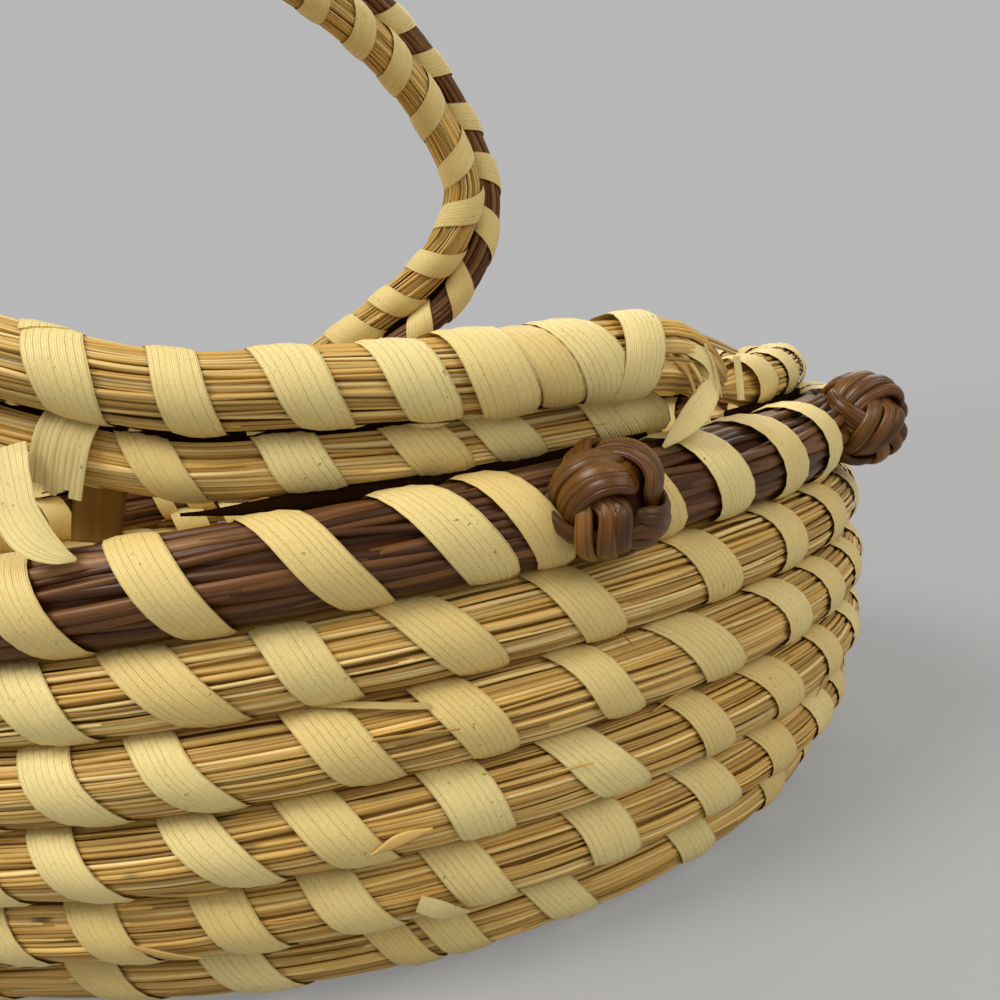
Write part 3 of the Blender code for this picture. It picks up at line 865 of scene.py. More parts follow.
@dataclass(frozen=True)
class Stitching:
    """Strips that sew a row, leaning down to the right on the outside and wound back round the inside.

    Angles from low to high are on the outer side, and those from high to back on the inner, in degrees.
    Low on the outer side a strip stands steeper and gets narrower.
    """

    ribbon: Ribbon = Ribbon()
    outer_stations: int = 12
    inner_stations: int = 7
    lift: float = -0.00018
    lean: float = LEAN
    lean_inside: float = LEAN_INSIDE
    low: float = -100
    high: float = 100
    back: float = 262
    vary_lean: float = 0.17
    vary_width: float = 0.08
    sway: float = 0.0003
    sway_waves: tuple[float, float] = (2.0, 5.0)
    steep_from: float = 0.7
    steeper: float = 0.45
    narrow_from: float = 0.9
    narrow_over: float = 0.8
    narrower: float = 0.16
    loose: float = 0.0001

    def sew(
        self, shell: Shell, line: Line, section: Section, places: Array, rng: Random,
        wide: Array | float = 1.0, raised: Array | float = 0.0,
    ) -> None:
        """Wind a strip round the row at each place, from under its outer side over the top to its inner.

        Args:
            shell: where the tubes go.
            line: the row's middle line.
            section: the row's section.
            places: distances where the strips cross the outer side.
            rng: source of the random draws.
            wide: each strip's width as a share of the ribbon's, or one share for all.
            raised: how much higher each strip lies, where it overlaps the one beside it.
        """
        outer = np.linspace(self.low, self.high, self.outer_stations)
        inner = np.linspace(self.high, self.back, self.inner_stations + 1)[1:]
        angle = np.radians(np.concatenate([outer, inner]))
        count = len(places)
        lean = self.lean * (1 + rng.normal(0, self.vary_lean, (count, 1)))
        under = np.minimum(angle + self.steep_from, 0)
        drop = np.where(angle < TURN / 4, (angle - self.steeper * under) * lean,
                        TURN / 4 * lean + (angle - TURN / 4) * self.lean_inside)
        along = places[:, None] - drop + self.sway * waves(rng, angle, count, self.sway_waves)
        below = 1 - self.narrower * smoothstep((-angle - self.narrow_from) / self.narrow_over)
        sizes = wide * (1 + rng.normal(0, self.vary_width, count))
        lift = np.full(along.shape, self.lift) + rng.uniform(0, self.loose, (count, 1))
        lift = lift + (raised * np.ones(count))[:, None]
        turns = np.broadcast_to(angle, along.shape)
        tint = rng.uniform(0, 1, count)
        self.ribbon.lay(shell, line, section, along, turns, below * sizes[:, None], lift, tint)


# Rows of the basket


@dataclass(frozen=True)
class Levels:
    """Heights, insets and leans of the rows: the base, five wall rows and the pine row."""

    plan: Plan = Plan()
    thickness: float = 0.0080
    gap: float = 0.0005
    rows: int = 5
    base_middle: float = 0.00382
    foot_lift: float = 0.0012
    touch: float = 0.0003
    pine_thickness: float = 0.0106
    shares: tuple[Triple, ...] = (
        (1.375, 0.000, 30), (0.688, 0.886, 21), (0.300, 1.920, 12), (0.113, 2.995, 5), (0.050, 4.074, 0),
    )

    def place(self, level: Array) -> tuple[Array, Array, Array]:
        """Inset from the pine row, height and lean of a wall row's middle at a level from the lowest."""
        insets, heights, leans = np.array(self.shares).T
        levels = np.arange(self.rows)
        inset = np.interp(level, levels, insets) * self.thickness
        height = self.base_middle + self.foot_lift + np.interp(level, levels, heights) * self.thickness
        return inset, height, np.radians(np.interp(level, levels, leans))

    @property
    def pine(self) -> float:
        """Height of the pine row's middle."""
        top = float(self.place(self.rows - 1)[1])
        return top + (self.thickness + self.pine_thickness) / 2 + self.touch

    def once_round(self, seam: float, count: int, inset: float) -> tuple[Array, Array]:
        """Points and outward directions once round the oval from a seam, whose ends nearly meet."""
        turns = np.linspace(0, 1 - self.gap / self.plan.length, count)
        return self.plan.points(seam + turns, inset)


@dataclass(frozen=True)
class WallScrap:
    """A splinter, leaf bit or fibre on the wall, in millimetres and degrees.

    Each point has a distance along the coil, an angle round it and a lift off it. A flat one is a strip,
    and a golden one is a leaf bit in the grass's colours.
    """

    points: tuple[Triple, ...]
    widths: Values
    tint: float
    flat: bool = True
    golden: bool = False


WALL_SCRAPS = (
    WallScrap(((1772.5, 82, 0.1), (1776.0, 66, 0.5), (1780.0, 52, 0.6), (1784.6, 40, 0.2)),
              (0.6, 0.8, 0.8, 0.7), 0.9),
    WallScrap(((1254.0, -16, 0.3), (1256.8, 0, 0.8), (1260.0, 2, 0.4)),
              (0.2, 1.4, 0.3), 0.62, golden=True),
    WallScrap(((721.0, 12, 0.3), (724.4, -2, 0.7), (727.6, -18, 0.4)),
              (0.3, 1.2, 0.2), 0.55, golden=True),
    WallScrap(((748.9, 8, 0.3), (751.0, -6, 0.8), (753.4, -30, 0.5)), (2.0, 2.4, 1.4), 0.2),
    WallScrap(((1805.0, 84, -0.2), (1805.5, 66, 0.9), (1806.0, 44, 0.8)),
              (0.30, 0.26, 0.16), 0.0, flat=False),
)


@dataclass
class Wall:
    """The wall's coil: it climbs a level over a fifth of each turn and thins out at both ends."""

    levels: Levels
    finishes: Finishes
    seam: float = 10 / 24
    climb: float = 0.20
    tip: float = 0.08
    step: float = 0.0024
    section: Section = Section(0.0042, 0.0044)
    strands: Strands = Strands(76, 0.00057, 0.13, 0.00036, (0.04, 0.14), sides=4, under=0.28)
    per_turn: tuple[int, ...] = (27, 40, 40, 40, 40)
    phases: Values = (0.80, 0.30, 0.30, 0.34, 0.36)
    drifts: Values = (0.0, 0.40, 0.25, 0.17, 0.42)
    drift_from: float = 0.856
    drift_over: float = 0.088
    jitter: float = 0.0008
    split: float = 0.862
    split_apart: float = 0.0026
    split_width: float = 0.78
    joint_start: float = 0.01
    joint_step: float = 0.006
    joint_stations: int = 181
    joint_section: Section = Section(0.0010, 0.0006)
    top_joint_section: Section = Section(0.0010, 0.0008)
    fibres: int = 44
    fibre_margin: float = 0.02
    fibre_sizes: tuple[float, float] = (5, 11)
    fibre_angle: float = 75
    fibre_drift: float = 14
    fibre_rises: tuple[float, float] = (0.3, 0.9)
    fibre_widths: Values = (0.45, 0.40, 0.15)
    lowest: float = 0.0006
    seed: int = 100
    scrap_seed: int = 17

    def route(self) -> tuple[Line, Array, Array]:
        """The coil's line, its thickness as a share at each station, and how many turns it has climbed."""
        levels = self.levels
        pitch = levels.thickness + levels.gap
        per_turn = levels.plan.length / self.step
        count = int((levels.rows + self.climb) * per_turn)
        climbed = levels.rows - np.arange(count, -1, -1) / per_turn
        whole = np.floor(climbed)
        level = whole + smoothstep((climbed - whole - 1 + self.climb) / self.climb)
        level[-1] = levels.rows
        top = levels.rows - 1
        beyond = np.maximum(level - top, 0) + np.maximum(-level, 0)
        thickness = (1 - beyond) * pitch - levels.gap
        inset, height, lean = levels.place(np.clip(level, 0, top))
        path, level_out = levels.plan.points(self.seam + climbed, inset)
        path[:, 2] = height
        cosine, sine, upright = np.cos(lean)[:, None], np.sin(lean)[:, None], np.array([[0, 0, 1]])
        out, up = cosine * level_out - sine * upright, sine * level_out + cosine * upright
        drop = (levels.thickness - thickness) / 2 * (beyond > 0)
        path += np.where(level > top, drop, -drop)[:, None] * up
        scale = thickness / levels.thickness
        kept = scale >= self.tip
        return Line(path[kept], out[kept]), scale[kept], climbed[kept]

    def places(self, row: int, line: Line, climbed: Array, rng: Random) -> Array:
        """Distances along the coil where the strips of a row cross the outer side, one under another.

        Past a place on the near side, the strips of a row move on by a share of their spacing.
        """
        count, phase, drift = self.per_turn[row - 1], self.phases[row - 1], self.drifts[row - 1]
        turns = (np.arange(2 * count) + phase) / count
        turns = turns + drift / count * smoothstep((turns - self.drift_from) / self.drift_over)
        wanted = turns - self.seam + row - 1
        wanted = wanted[(wanted > row - 1) & (wanted < row)]
        return np.interp(wanted, climbed, line.distance) + rng.normal(0, self.jitter, len(wanted))

    def build(self) -> None:
        """Make the coil's strands in one run, cut into a piece for each row, and each row's strips."""
        line, scale, climbed = self.route()
        draws = [np.random.default_rng(self.seed + row) for row in range(self.levels.rows + 1)]
        sewn = [self.places(row, line, climbed, draws[row]) for row in range(1, self.levels.rows + 1)]
        rings, along, around, tint = self.strands.lay_out(
            line, self.section, draws[0], np.concatenate(sewn), scale)
        for row in range(self.levels.rows + 1):
            first, last = np.searchsorted(climbed, (row - 1, row))
            first, last = max(first - 1, 0), min(last, len(climbed))
            shell = Shell()
            shell.sweep(rings[:, first:last], along[:, first:last], around, tint)
            part = Line(line.points[first:last], line.out[first:last])
            core(shell, part, self.section, CORE_SHARE, scale[first:last])
            self.finishes.show(shell, f"wall_row_{row}", Look.STEMS, "wall_coil")
        for row, places in enumerate(sewn, start=1):
            wide = np.ones(len(places))
            if row == 1:
                spot = np.interp(self.split - self.seam, climbed, line.distance)
                places, wide = self.with_pair(places, float(spot))
            strips = Shell()
            Stitching().sew(strips, line, self.section, places, draws[row], wide)
            self.finishes.show(strips, f"wall_stitches_{row}", Look.LEAF)
        self.close_joints(line, climbed)
        self.scraps(line)

    def with_pair(self, places: Array, spot: float) -> tuple[Array, Array]:
        """Strips' places and widths, the strip nearest a spot replaced by two narrow ones side by side."""
        nearest = np.argmin(np.abs(places - spot))
        pair = places[nearest] + self.split_apart * np.array([-1, 1])
        wide = np.append(np.ones(len(places) - 1), [self.split_width] * 2)
        return np.concatenate([np.delete(places, nearest), pair]), wide

    def loose(self, rng: Random, length: float) -> WallScrap:
        """A fibre that comes loose somewhere on the wall, one end held in the bundle."""
        margin = self.fibre_margin
        start = rng.uniform(margin, length - 2 * margin) / MILLIMETRE
        size = rng.uniform(*self.fibre_sizes) * rng.choice([-1, 1])
        angle = rng.uniform(-self.fibre_angle, self.fibre_angle)
        drift = rng.uniform(-self.fibre_drift, self.fibre_drift)
        rise = rng.uniform(*self.fibre_rises)
        middle, end = (start + size / 2, angle + drift / 3, 0.1), (start + size, angle + drift, rise)
        points = ((start, angle, -0.4), middle, end)
        return WallScrap(points, self.fibre_widths, rng.uniform(0, 1), flat=False)

    def scraps(self, line: Line) -> None:
        """Add the splinters and leaf bits seen in the photo, and fibres that come loose here and there."""
        rng = np.random.default_rng(self.scrap_seed)
        strips, strands = Shell(), Shell()
        for scrap in (*WALL_SCRAPS, *(self.loose(rng, line.length) for _ in range(self.fibres))):
            count = POINTS_A_MARK * len(scrap.points)
            units = [MILLIMETRE, TURN / 360, MILLIMETRE]
            along, angle, lift = threaded(np.array(scrap.points) * units, count).T
            path = self.section.surface(line, along, angle, lift)
            path[:, 2] = np.maximum(path[:, 2], self.lowest)
            widths = threaded(np.array(scrap.widths)[:, None] * MILLIMETRE, count)[:, 0]
            if scrap.flat:
                _, out, up, _ = line.at(along)
                shell = strands if scrap.golden else strips
                free_ribbon(shell, path, facing_at(angle, out, up), widths, scrap.tint)
            else:
                fibre(strands, path, widths, scrap.tint)
        self.finishes.show(strips, "wall_splinters", Look.LEAF)
        self.finishes.show(strands, "wall_fibres", Look.FIBRES)

    def close_joints(self, line: Line, climbed: Array) -> None:
        """Close the joints between neighbouring turns and under the needle row with thin dark tubes:
        painted shade in the gaps.
        """
        levels = self.levels
        lower = np.arange(-self.climb + self.joint_start, levels.rows - 1, self.joint_step)
        below, above = (line.at(np.interp(lower + step, climbed, line.distance)) for step in (0, 1))
        shell = Shell()
        core(shell, Line((below[0] + above[0]) / 2, below[1] + above[1]), self.joint_section)
        inset = float(levels.place(levels.rows - 1)[0]) / 2
        path, out = levels.once_round(self.seam, self.joint_stations, inset)
        path[:, 2] = levels.pine - levels.pine_thickness / 2
        core(shell, Line(path, out), self.top_joint_section)
        self.finishes.show(shell, "wall_joint_shade", Look.STEMS)


@dataclass
class Base:
    """The base's coil: a straight core folded back, then turns that widen at a steady rate."""

    levels: Levels
    finishes: Finishes
    gap: float = 0.0008
    core_half: float = 0.0125
    core_start: float = 0.0122
    core_straight: float = 0.8
    per_turn: int = 24
    stations_a_mark: int = 4
    core_stations: int = 6
    bend_stations: int = 9
    spacing: float = 0.0128
    sewn_share: float = 0.97
    sewn_from: float = 0.004
    thinnest: float = 0.02
    tip: float = 0.24
    step: float = 0.0034
    plate_inset: float = 0.0020
    plate_half: float = 0.0007
    plate_corners: int = 96
    section: Section = Section(0.0043, 0.0032)
    strands: Strands = Strands(38, 0.00072, 0.10, 0.0004, (0.03, 0.10), sides=4)
    seed: int = 7

    def route(self) -> tuple[Line, Array]:
        """The coil's line, smoothed from its stations, and its thickness as a share."""
        levels = self.levels
        pitch = levels.thickness + self.gap
        corner = levels.thickness / 2 / math.cos(math.pi / 6)
        inside = levels.plan.radius - float(levels.place(0)[0])
        outer = inside - corner - levels.touch - levels.thickness / 2
        bend = pitch / 2
        count = int((outer - bend - pitch / 4) / pitch * self.per_turn)
        turns = count / self.per_turn
        first = outer - pitch * turns
        passed = np.linspace(1 / self.per_turn, turns + 1, self.stations_a_mark * count)
        beyond = np.maximum(passed - turns, 0)
        thickness = (1 - beyond) * pitch - self.gap
        reach = np.where(beyond > 0, outer + (levels.thickness - thickness) / 2, first + pitch * passed)
        path, out = levels.plan.points(0.25 + passed, levels.plan.radius - reach)
        kept = thickness >= self.thinnest * levels.thickness
        low = first - 2 * bend - pitch * (0.25 - levels.plan.foot)
        angles = np.linspace(-TURN / 4, TURN / 4, self.bend_stations)
        round_out = np.stack([np.cos(angles), np.sin(angles), np.zeros(len(angles))], axis=1)
        straight = np.linspace(-self.core_start, self.core_half * self.core_straight, self.core_stations)
        start = straight[:, None] * [1, 0, 0] + [0, low, 0]
        turned = np.array([self.core_half, low + bend, 0.0]) + bend * round_out
        away = np.vstack([np.tile([0.0, -1.0, 0.0], (len(start), 1)), round_out])
        path = np.vstack([start, turned, path[kept]])
        path[:, 2] = levels.base_middle
        scale = np.maximum(thickness[kept] / levels.thickness, self.tip)
        scale = np.concatenate([np.ones(len(away)), scale])
        line = Line(path, np.vstack([away, out[kept]]))
        fine = line.piece(0, line.length, self.step)
        return fine, np.interp(fine.distance, line.distance, scale)

    def plate(self, shell: Shell) -> None:
        """A thin dark oval plate inside the rows: painted shade that closes the joints between them."""
        levels = self.levels
        around = side_marks(self.plate_corners)
        rim, _ = levels.plan.points(around[0], float(levels.place(0)[0]) + self.plate_inset)
        rings = np.stack([rim, rim])
        rings[:, :, 2] = levels.base_middle + np.array([[-1], [1]]) * self.plate_half
        shell.sweep(rings[None], np.array([[0.0, 2 * self.plate_half]]), around, np.array([0.5]), slot=1)

    def build(self) -> None:
        """Make the coil as strands and strips."""
        line, scale = self.route()
        rng = np.random.default_rng(self.seed)
        places = spaced(line.length * self.sewn_share, self.spacing, self.sewn_from, rng)
        shell = bundle(line, self.section, self.strands, rng, places, scale)
        self.plate(shell)
        self.finishes.show(shell, "base_rows", Look.STEMS, "base_coil")
        strips = Shell()
        Stitching(outer_stations=8, inner_stations=6).sew(strips, line, self.section, places, rng)
        self.finishes.show(strips, "base_stitches", Look.LEAF)


@dataclass
class PineRow:
    """The dark row of pine needles, its strips and its four knots."""

    levels: Levels
    finishes: Finishes
    seam: float = 0.401
    stitches: int = 40
    section: Section = Section(0.0053, 0.0053)
    strands: Strands = Strands(44, 0.00138, 0.26, 0.0006, (0.04, 0.12), sides=7, vary=0.24, twist=3.0)
    core_share: float = 0.78
    jitter: float = 0.05
    knot_places: tuple[int, ...] = (19, 23, 39, 3)
    beside_knot: tuple[tuple[int, float], ...] = (
        (18, -0.06), (17, 0.0), (16, -0.06), (20, 0.25), (21, 0.14),
    )
    close_to_knot: Values = (-0.53, 0.48)
    close_width: float = 0.70
    strip_width: float = 0.0054
    stations: int = 221
    close_step: float = 0.0005
    seed: int = 31

    def line(self) -> Line:
        """The row's middle line, once round the oval."""
        path, out = self.levels.once_round(self.seam, self.stations, 0.0)
        path[:, 2] = self.levels.pine
        return Line(path, out)

    def close_line(self) -> Line:
        """The row's middle line with close points, to measure from."""
        line = self.line()
        return line.piece(0, line.length, self.close_step)

    def places(self, spacing: float, rng: Random) -> Array:
        """Distances of the strips: one for each chord without a knot, those by two of the knots moved."""
        shifts = rng.normal(0, self.jitter, self.stitches)
        half = self.stitches // 2
        for chord, shift in self.beside_knot:
            shifts[[chord, (chord + half) % self.stitches]] = shift
        kept = np.setdiff1d(np.arange(self.stitches), self.knot_places)
        return (kept + 0.5 + shifts[kept]) * spacing

    def build(self) -> None:
        """Make the row, its strips and the knots."""
        line = self.line()
        rng = np.random.default_rng(self.seed)
        spacing = line.length / self.stitches
        places = self.places(spacing, rng)
        shell = bundle(line, self.section, self.strands, rng, places, share=self.core_share)
        self.finishes.show(shell, "pine_needle_row", Look.NEEDLES, "pine_row")
        stitching = Stitching(Ribbon(self.strip_width))
        strips, beside = Shell(), Shell()
        stitching.sew(strips, line, self.section, places, rng)
        nodes = [f"pine_strip_{number:02d}" for number in range(1, len(places) + 1)]
        self.finishes.show(strips, "pine_row_strips", Look.LEAF, *nodes)
        first_knots = np.array(self.knot_places[::2])
        extra = (first_knots[:, None] + 0.5 + np.array(self.close_to_knot)) * spacing
        stitching.sew(beside, line, self.section, extra.ravel(), rng, self.close_width)
        self.finishes.show(beside, "knot_side_strips", Look.LEAF)
        for number, chord in enumerate(self.knot_places, start=1):
            Knot(line, (chord + 0.5) * spacing, number, self.finishes).build()


@dataclass
class Knot:
    """A ball of wound needles: a woven band of three turns and four waves, three strands side by side."""

    line: Line
    middle: float
    number: int
    finishes: Finishes
    outset: float = 0.0058
    lift: float = 0.0008
    radius: float = 0.0052
    turns: int = 3
    waves: int = 4
    weave: float = 0.00075
    width: float = 0.00215
    depth: float = 0.00115
    spread: float = 0.345
    swing: float = 0.95
    less_outside: float = 0.1
    lag: float = 0.12
    uneven: float = 0.04
    uneven_waves: tuple[float, float] = (0.8, 2.5)
    in_and_out: float = 0.004
    swell: float = 0.16
    swell_waves: tuple[float, float] = (0.6, 1.6)
    tint_step: float = 0.35
    inside: float = 0.0042
    ball_hole: float = 0.05
    ball_rows: int = 9
    ball_length: float = 0.01
    sides: int = 12
    stations: int = 260

    def build(self) -> None:
        """Make the knot.

        A strand goes round the outward axis three times while its angle from that axis swings four times.
        Its distance from the middle rises and falls twice as often, so that it passes over and under. A
        dark ball inside, in the needles' dark core finish, closes the gaps as painted shade.
        """
        centre, out, up, along = self.line.spot(self.middle)
        centre = centre + out * self.outset + up * self.lift
        axes = np.stack([along, up, out])
        step = np.linspace(0, TURN, self.stations + 1)
        rng = np.random.default_rng(self.number)
        shell = Shell()
        for lane in (-1, 0, 1):
            uneven = self.uneven * waves(rng, step, 3, self.uneven_waves)
            swell = 1 + self.swell * waves(rng, step, 2, self.swell_waves)
            swing = self.swing * (1 - self.less_outside * abs(lane))
            tilt = TURN / 4 + swing * np.cos(self.waves * step + lane * self.lag)
            tilt = tilt + lane * self.spread * (1 + uneven[0]) + uneven[1]
            reach = self.radius + self.weave * np.sin(2 * self.waves * step) + self.in_and_out * uneven[2]
            aim = self.aimed(tilt, self.turns * step + self.number) @ axes
            path = centre + reach[:, None] * aim
            travel = travel_of(path)
            side = unit(np.cross(travel, aim))
            face = np.cross(side, travel)
            high = swell[0][:, None] * face * self.depth / 2
            wide = swell[1][:, None] * np.cross(travel, face) * self.width / 2
            rings = path[:, None] + rings_of(self.sides, high, wide)
            tint = np.array([0.5 + self.tint_step * lane])
            shell.sweep(rings[None], distances_of(path)[None] + lane, side_marks(self.sides), tint)
        around = side_marks(self.sides)
        # Inner ball in the dark core finish: painted shade behind the strands.
        polar = np.linspace(TURN / 2 - self.ball_hole, self.ball_hole, self.ball_rows)[:, None]
        ball = centre + self.inside * self.aimed(polar, around[0] * TURN) @ axes
        along = np.linspace(0, self.ball_length, self.ball_rows)
        shell.sweep(ball[None], along[None], around, np.array([0.5]), slot=1)
        self.finishes.show(shell, f"needle_knot_{self.number}", Look.KNOT, f"pine_knot_{self.number}")

    @staticmethod
    def aimed(tilt: Array, spin: Array) -> Array:
        """Directions at a tilt from the outward axis and a spin round it: shares of along, up and out."""
        level = np.sin(tilt)
        return np.stack(np.broadcast_arrays(level * np.cos(spin), level * np.sin(spin), np.cos(tilt)), -1)


@dataclass(frozen=True)
class HandlePlan:
    """The route of the handle: two tails along the rim, two feet and the arch."""

    levels: Levels = Levels()
    light: float = 0.0081
    dark: float = 0.0066
    foot_back: float = 0.0080
    tail: float = 0.1090
    seat_angle: float = 63.5
    span_extra: float = 0.0040
    spring: float = 0.0500
    height: float = 0.0480
    arch_start: float = 4
    arch_tilt: float = 176
    arch_steps: int = 6
    stations: int = 120
    shares: tuple[tuple[float, float, float, float], ...] = (
        (1.00, 0.000, 0.000, 44), (0.87, 0.000, 0.000, 52), (0.74, 0.000, 0.001, 60),
        (0.62, 0.000, 0.008, 71), (0.51, 0.000, 0.020, 76), (0.40, 0.002, 0.058, 74),
        (0.30, 0.012, 0.100, 78), (0.20, 0.030, 0.145, 90), (0.107, 0.056, 0.200, 110),
        (0.034, 0.082, 0.281, 141),
    )

    @property
    def foot(self) -> float:
        """Turns from the oval's right end to the near foot."""
        return 0.5 + self.levels.plan.foot - self.foot_back / self.levels.plan.length

    def seat(self) -> tuple[float, float]:
        """How far out and up from the pine row's middle the lower coil's middle lies."""
        corner = math.cos(math.pi / 8)
        reach = (self.levels.pine_thickness + self.dark) / 2 / corner + self.levels.touch
        slope = math.radians(self.seat_angle)
        return -reach * math.cos(slope), reach * math.sin(slope)

    def controls(self) -> Array:
        """Points, outward directions and tilts of the near half, from the tail's end to the arch's top."""
        plan = self.levels.plan
        seat_out, seat_up = self.seat()
        half = (self.dark + self.levels.touch) / 2
        rows = []
        for along, outset, rise, tilt in self.shares:
            lean = math.radians(tilt)
            inset = -seat_out - outset * self.tail - half * math.cos(lean)
            point, out = plan.points(self.foot + along * self.tail / plan.length, inset)
            point[2] = self.levels.pine + seat_up + rise * self.tail + half * math.sin(lean)
            rows.append([*point, *out, tilt])
        root = plan.points(self.foot, 0)[0]
        away = unit(root)
        reach = np.linalg.norm(root) + self.span_extra
        middle = np.array([0, 0, self.levels.pine + self.spring])
        for step in range(self.arch_steps + 1):
            share = step / self.arch_steps
            angle = math.radians(self.arch_start + (90 - self.arch_start) * share)
            point = middle + away * reach * math.cos(angle)
            point[2] += self.height * math.sin(angle)
            out = unit(np.array([*(away[:2] * math.cos(angle) / reach), math.sin(angle) / self.height]))
            rows.append([*point, *out, self.arch_tilt + (180 - self.arch_tilt) * share])
        return np.array(rows)

    def frames(self) -> tuple[Array, Array]:
        """The line where the coils touch, and the direction to the light coil, by cubic pieces."""
        controls = self.controls()
        marks = distances_of(controls[:, :3])
        wanted = np.linspace(0, marks[-1], self.stations + 1)
        slopes = np.gradient(controls, marks, axis=0)
        piece = np.clip(np.searchsorted(marks, wanted, side="right") - 1, 0, len(marks) - 2)
        width = (marks[piece + 1] - marks[piece])[:, None]
        t = (wanted - marks[piece])[:, None] / width
        leave, arrive = width * slopes[piece], width * slopes[piece + 1]
        near = cubic(controls[piece], leave, controls[piece + 1], arrive, t)
        path, out, tilt = near[:, :3], near[:, 3:6], np.radians(near[:, 6:7])
        path[-1, :2] = 0
        along = travel_of(np.vstack([path, path[-2:-1] * HALF_TURNED]))[:-1]
        out = unit(out - np.sum(out * along, axis=1, keepdims=True) * along)
        toward = np.cos(tilt) * out + np.sin(tilt) * np.cross(along, out)
        return tuple(np.vstack([near, near[-2::-1] * HALF_TURNED]) for near in (path, toward))


@dataclass
class RimCoils:
    """The light coils that lie on the rim between the end of one tail and the other foot."""

    levels: Levels
    finishes: Finishes
    route: HandlePlan = HandlePlan()
    to_tail: float = 0.0140
    to_foot: float = 0.0110
    tip: float = 0.30
    tip_length: float = 0.009
    ends: float = 0.012
    spacing: float = 0.0112
    stations: int = 90
    lean: float = 0.0022
    strands: Strands = Strands(58, 0.00060, 0.12, 0.0003, (0.03, 0.09), sides=4)
    seed: int = 61

    def line(self) -> tuple[Line, Array]:
        """The right coil's line and its thickness as a share."""
        plan, route = self.levels.plan, self.route
        first = route.foot - 1 + (route.tail + self.to_tail) / plan.length
        last = route.foot - 0.5 - self.to_foot / plan.length
        seat_out, seat_up = route.seat()
        path, out = plan.points(np.linspace(first, last, self.stations), -seat_out)
        path[:, 2] = self.levels.pine + seat_up
        line = Line(path, out)
        ends = np.minimum(line.distance, line.length - line.distance)
        return line, self.tip + (1 - self.tip) * np.clip(ends / self.tip_length, 0, 1)

    def build(self) -> None:
        """Make both coils and their strips."""
        row = PineRow(self.levels, self.finishes).close_line()
        right, scale = self.line()
        section = Section.round(self.route.dark)
        joints = Shell()
        for side, line in (("right", right), ("left", right.turned_over())):
            rng = np.random.default_rng(self.seed + len(side))
            places = spaced(line.length - self.ends, self.spacing, self.ends / 4, rng)
            shell = bundle(line, section, self.strands, rng, places, scale)
            # A near-black tube in the slit between the coil and the needle row: painted shade.
            joint(joints, line, section.half_out, row, self.levels.pine_thickness / 2)
            self.finishes.show(shell, f"rim_bundle_{side}", Look.STEMS, f"rim_coil_{side}")
            strips = Shell()
            Stitching(lean=self.lean).sew(strips, line, section, places, rng)
            self.finishes.show(strips, f"rim_strips_{side}", Look.LEAF)
        self.finishes.show(joints, "rim_joint_shade", Look.JOINTS)


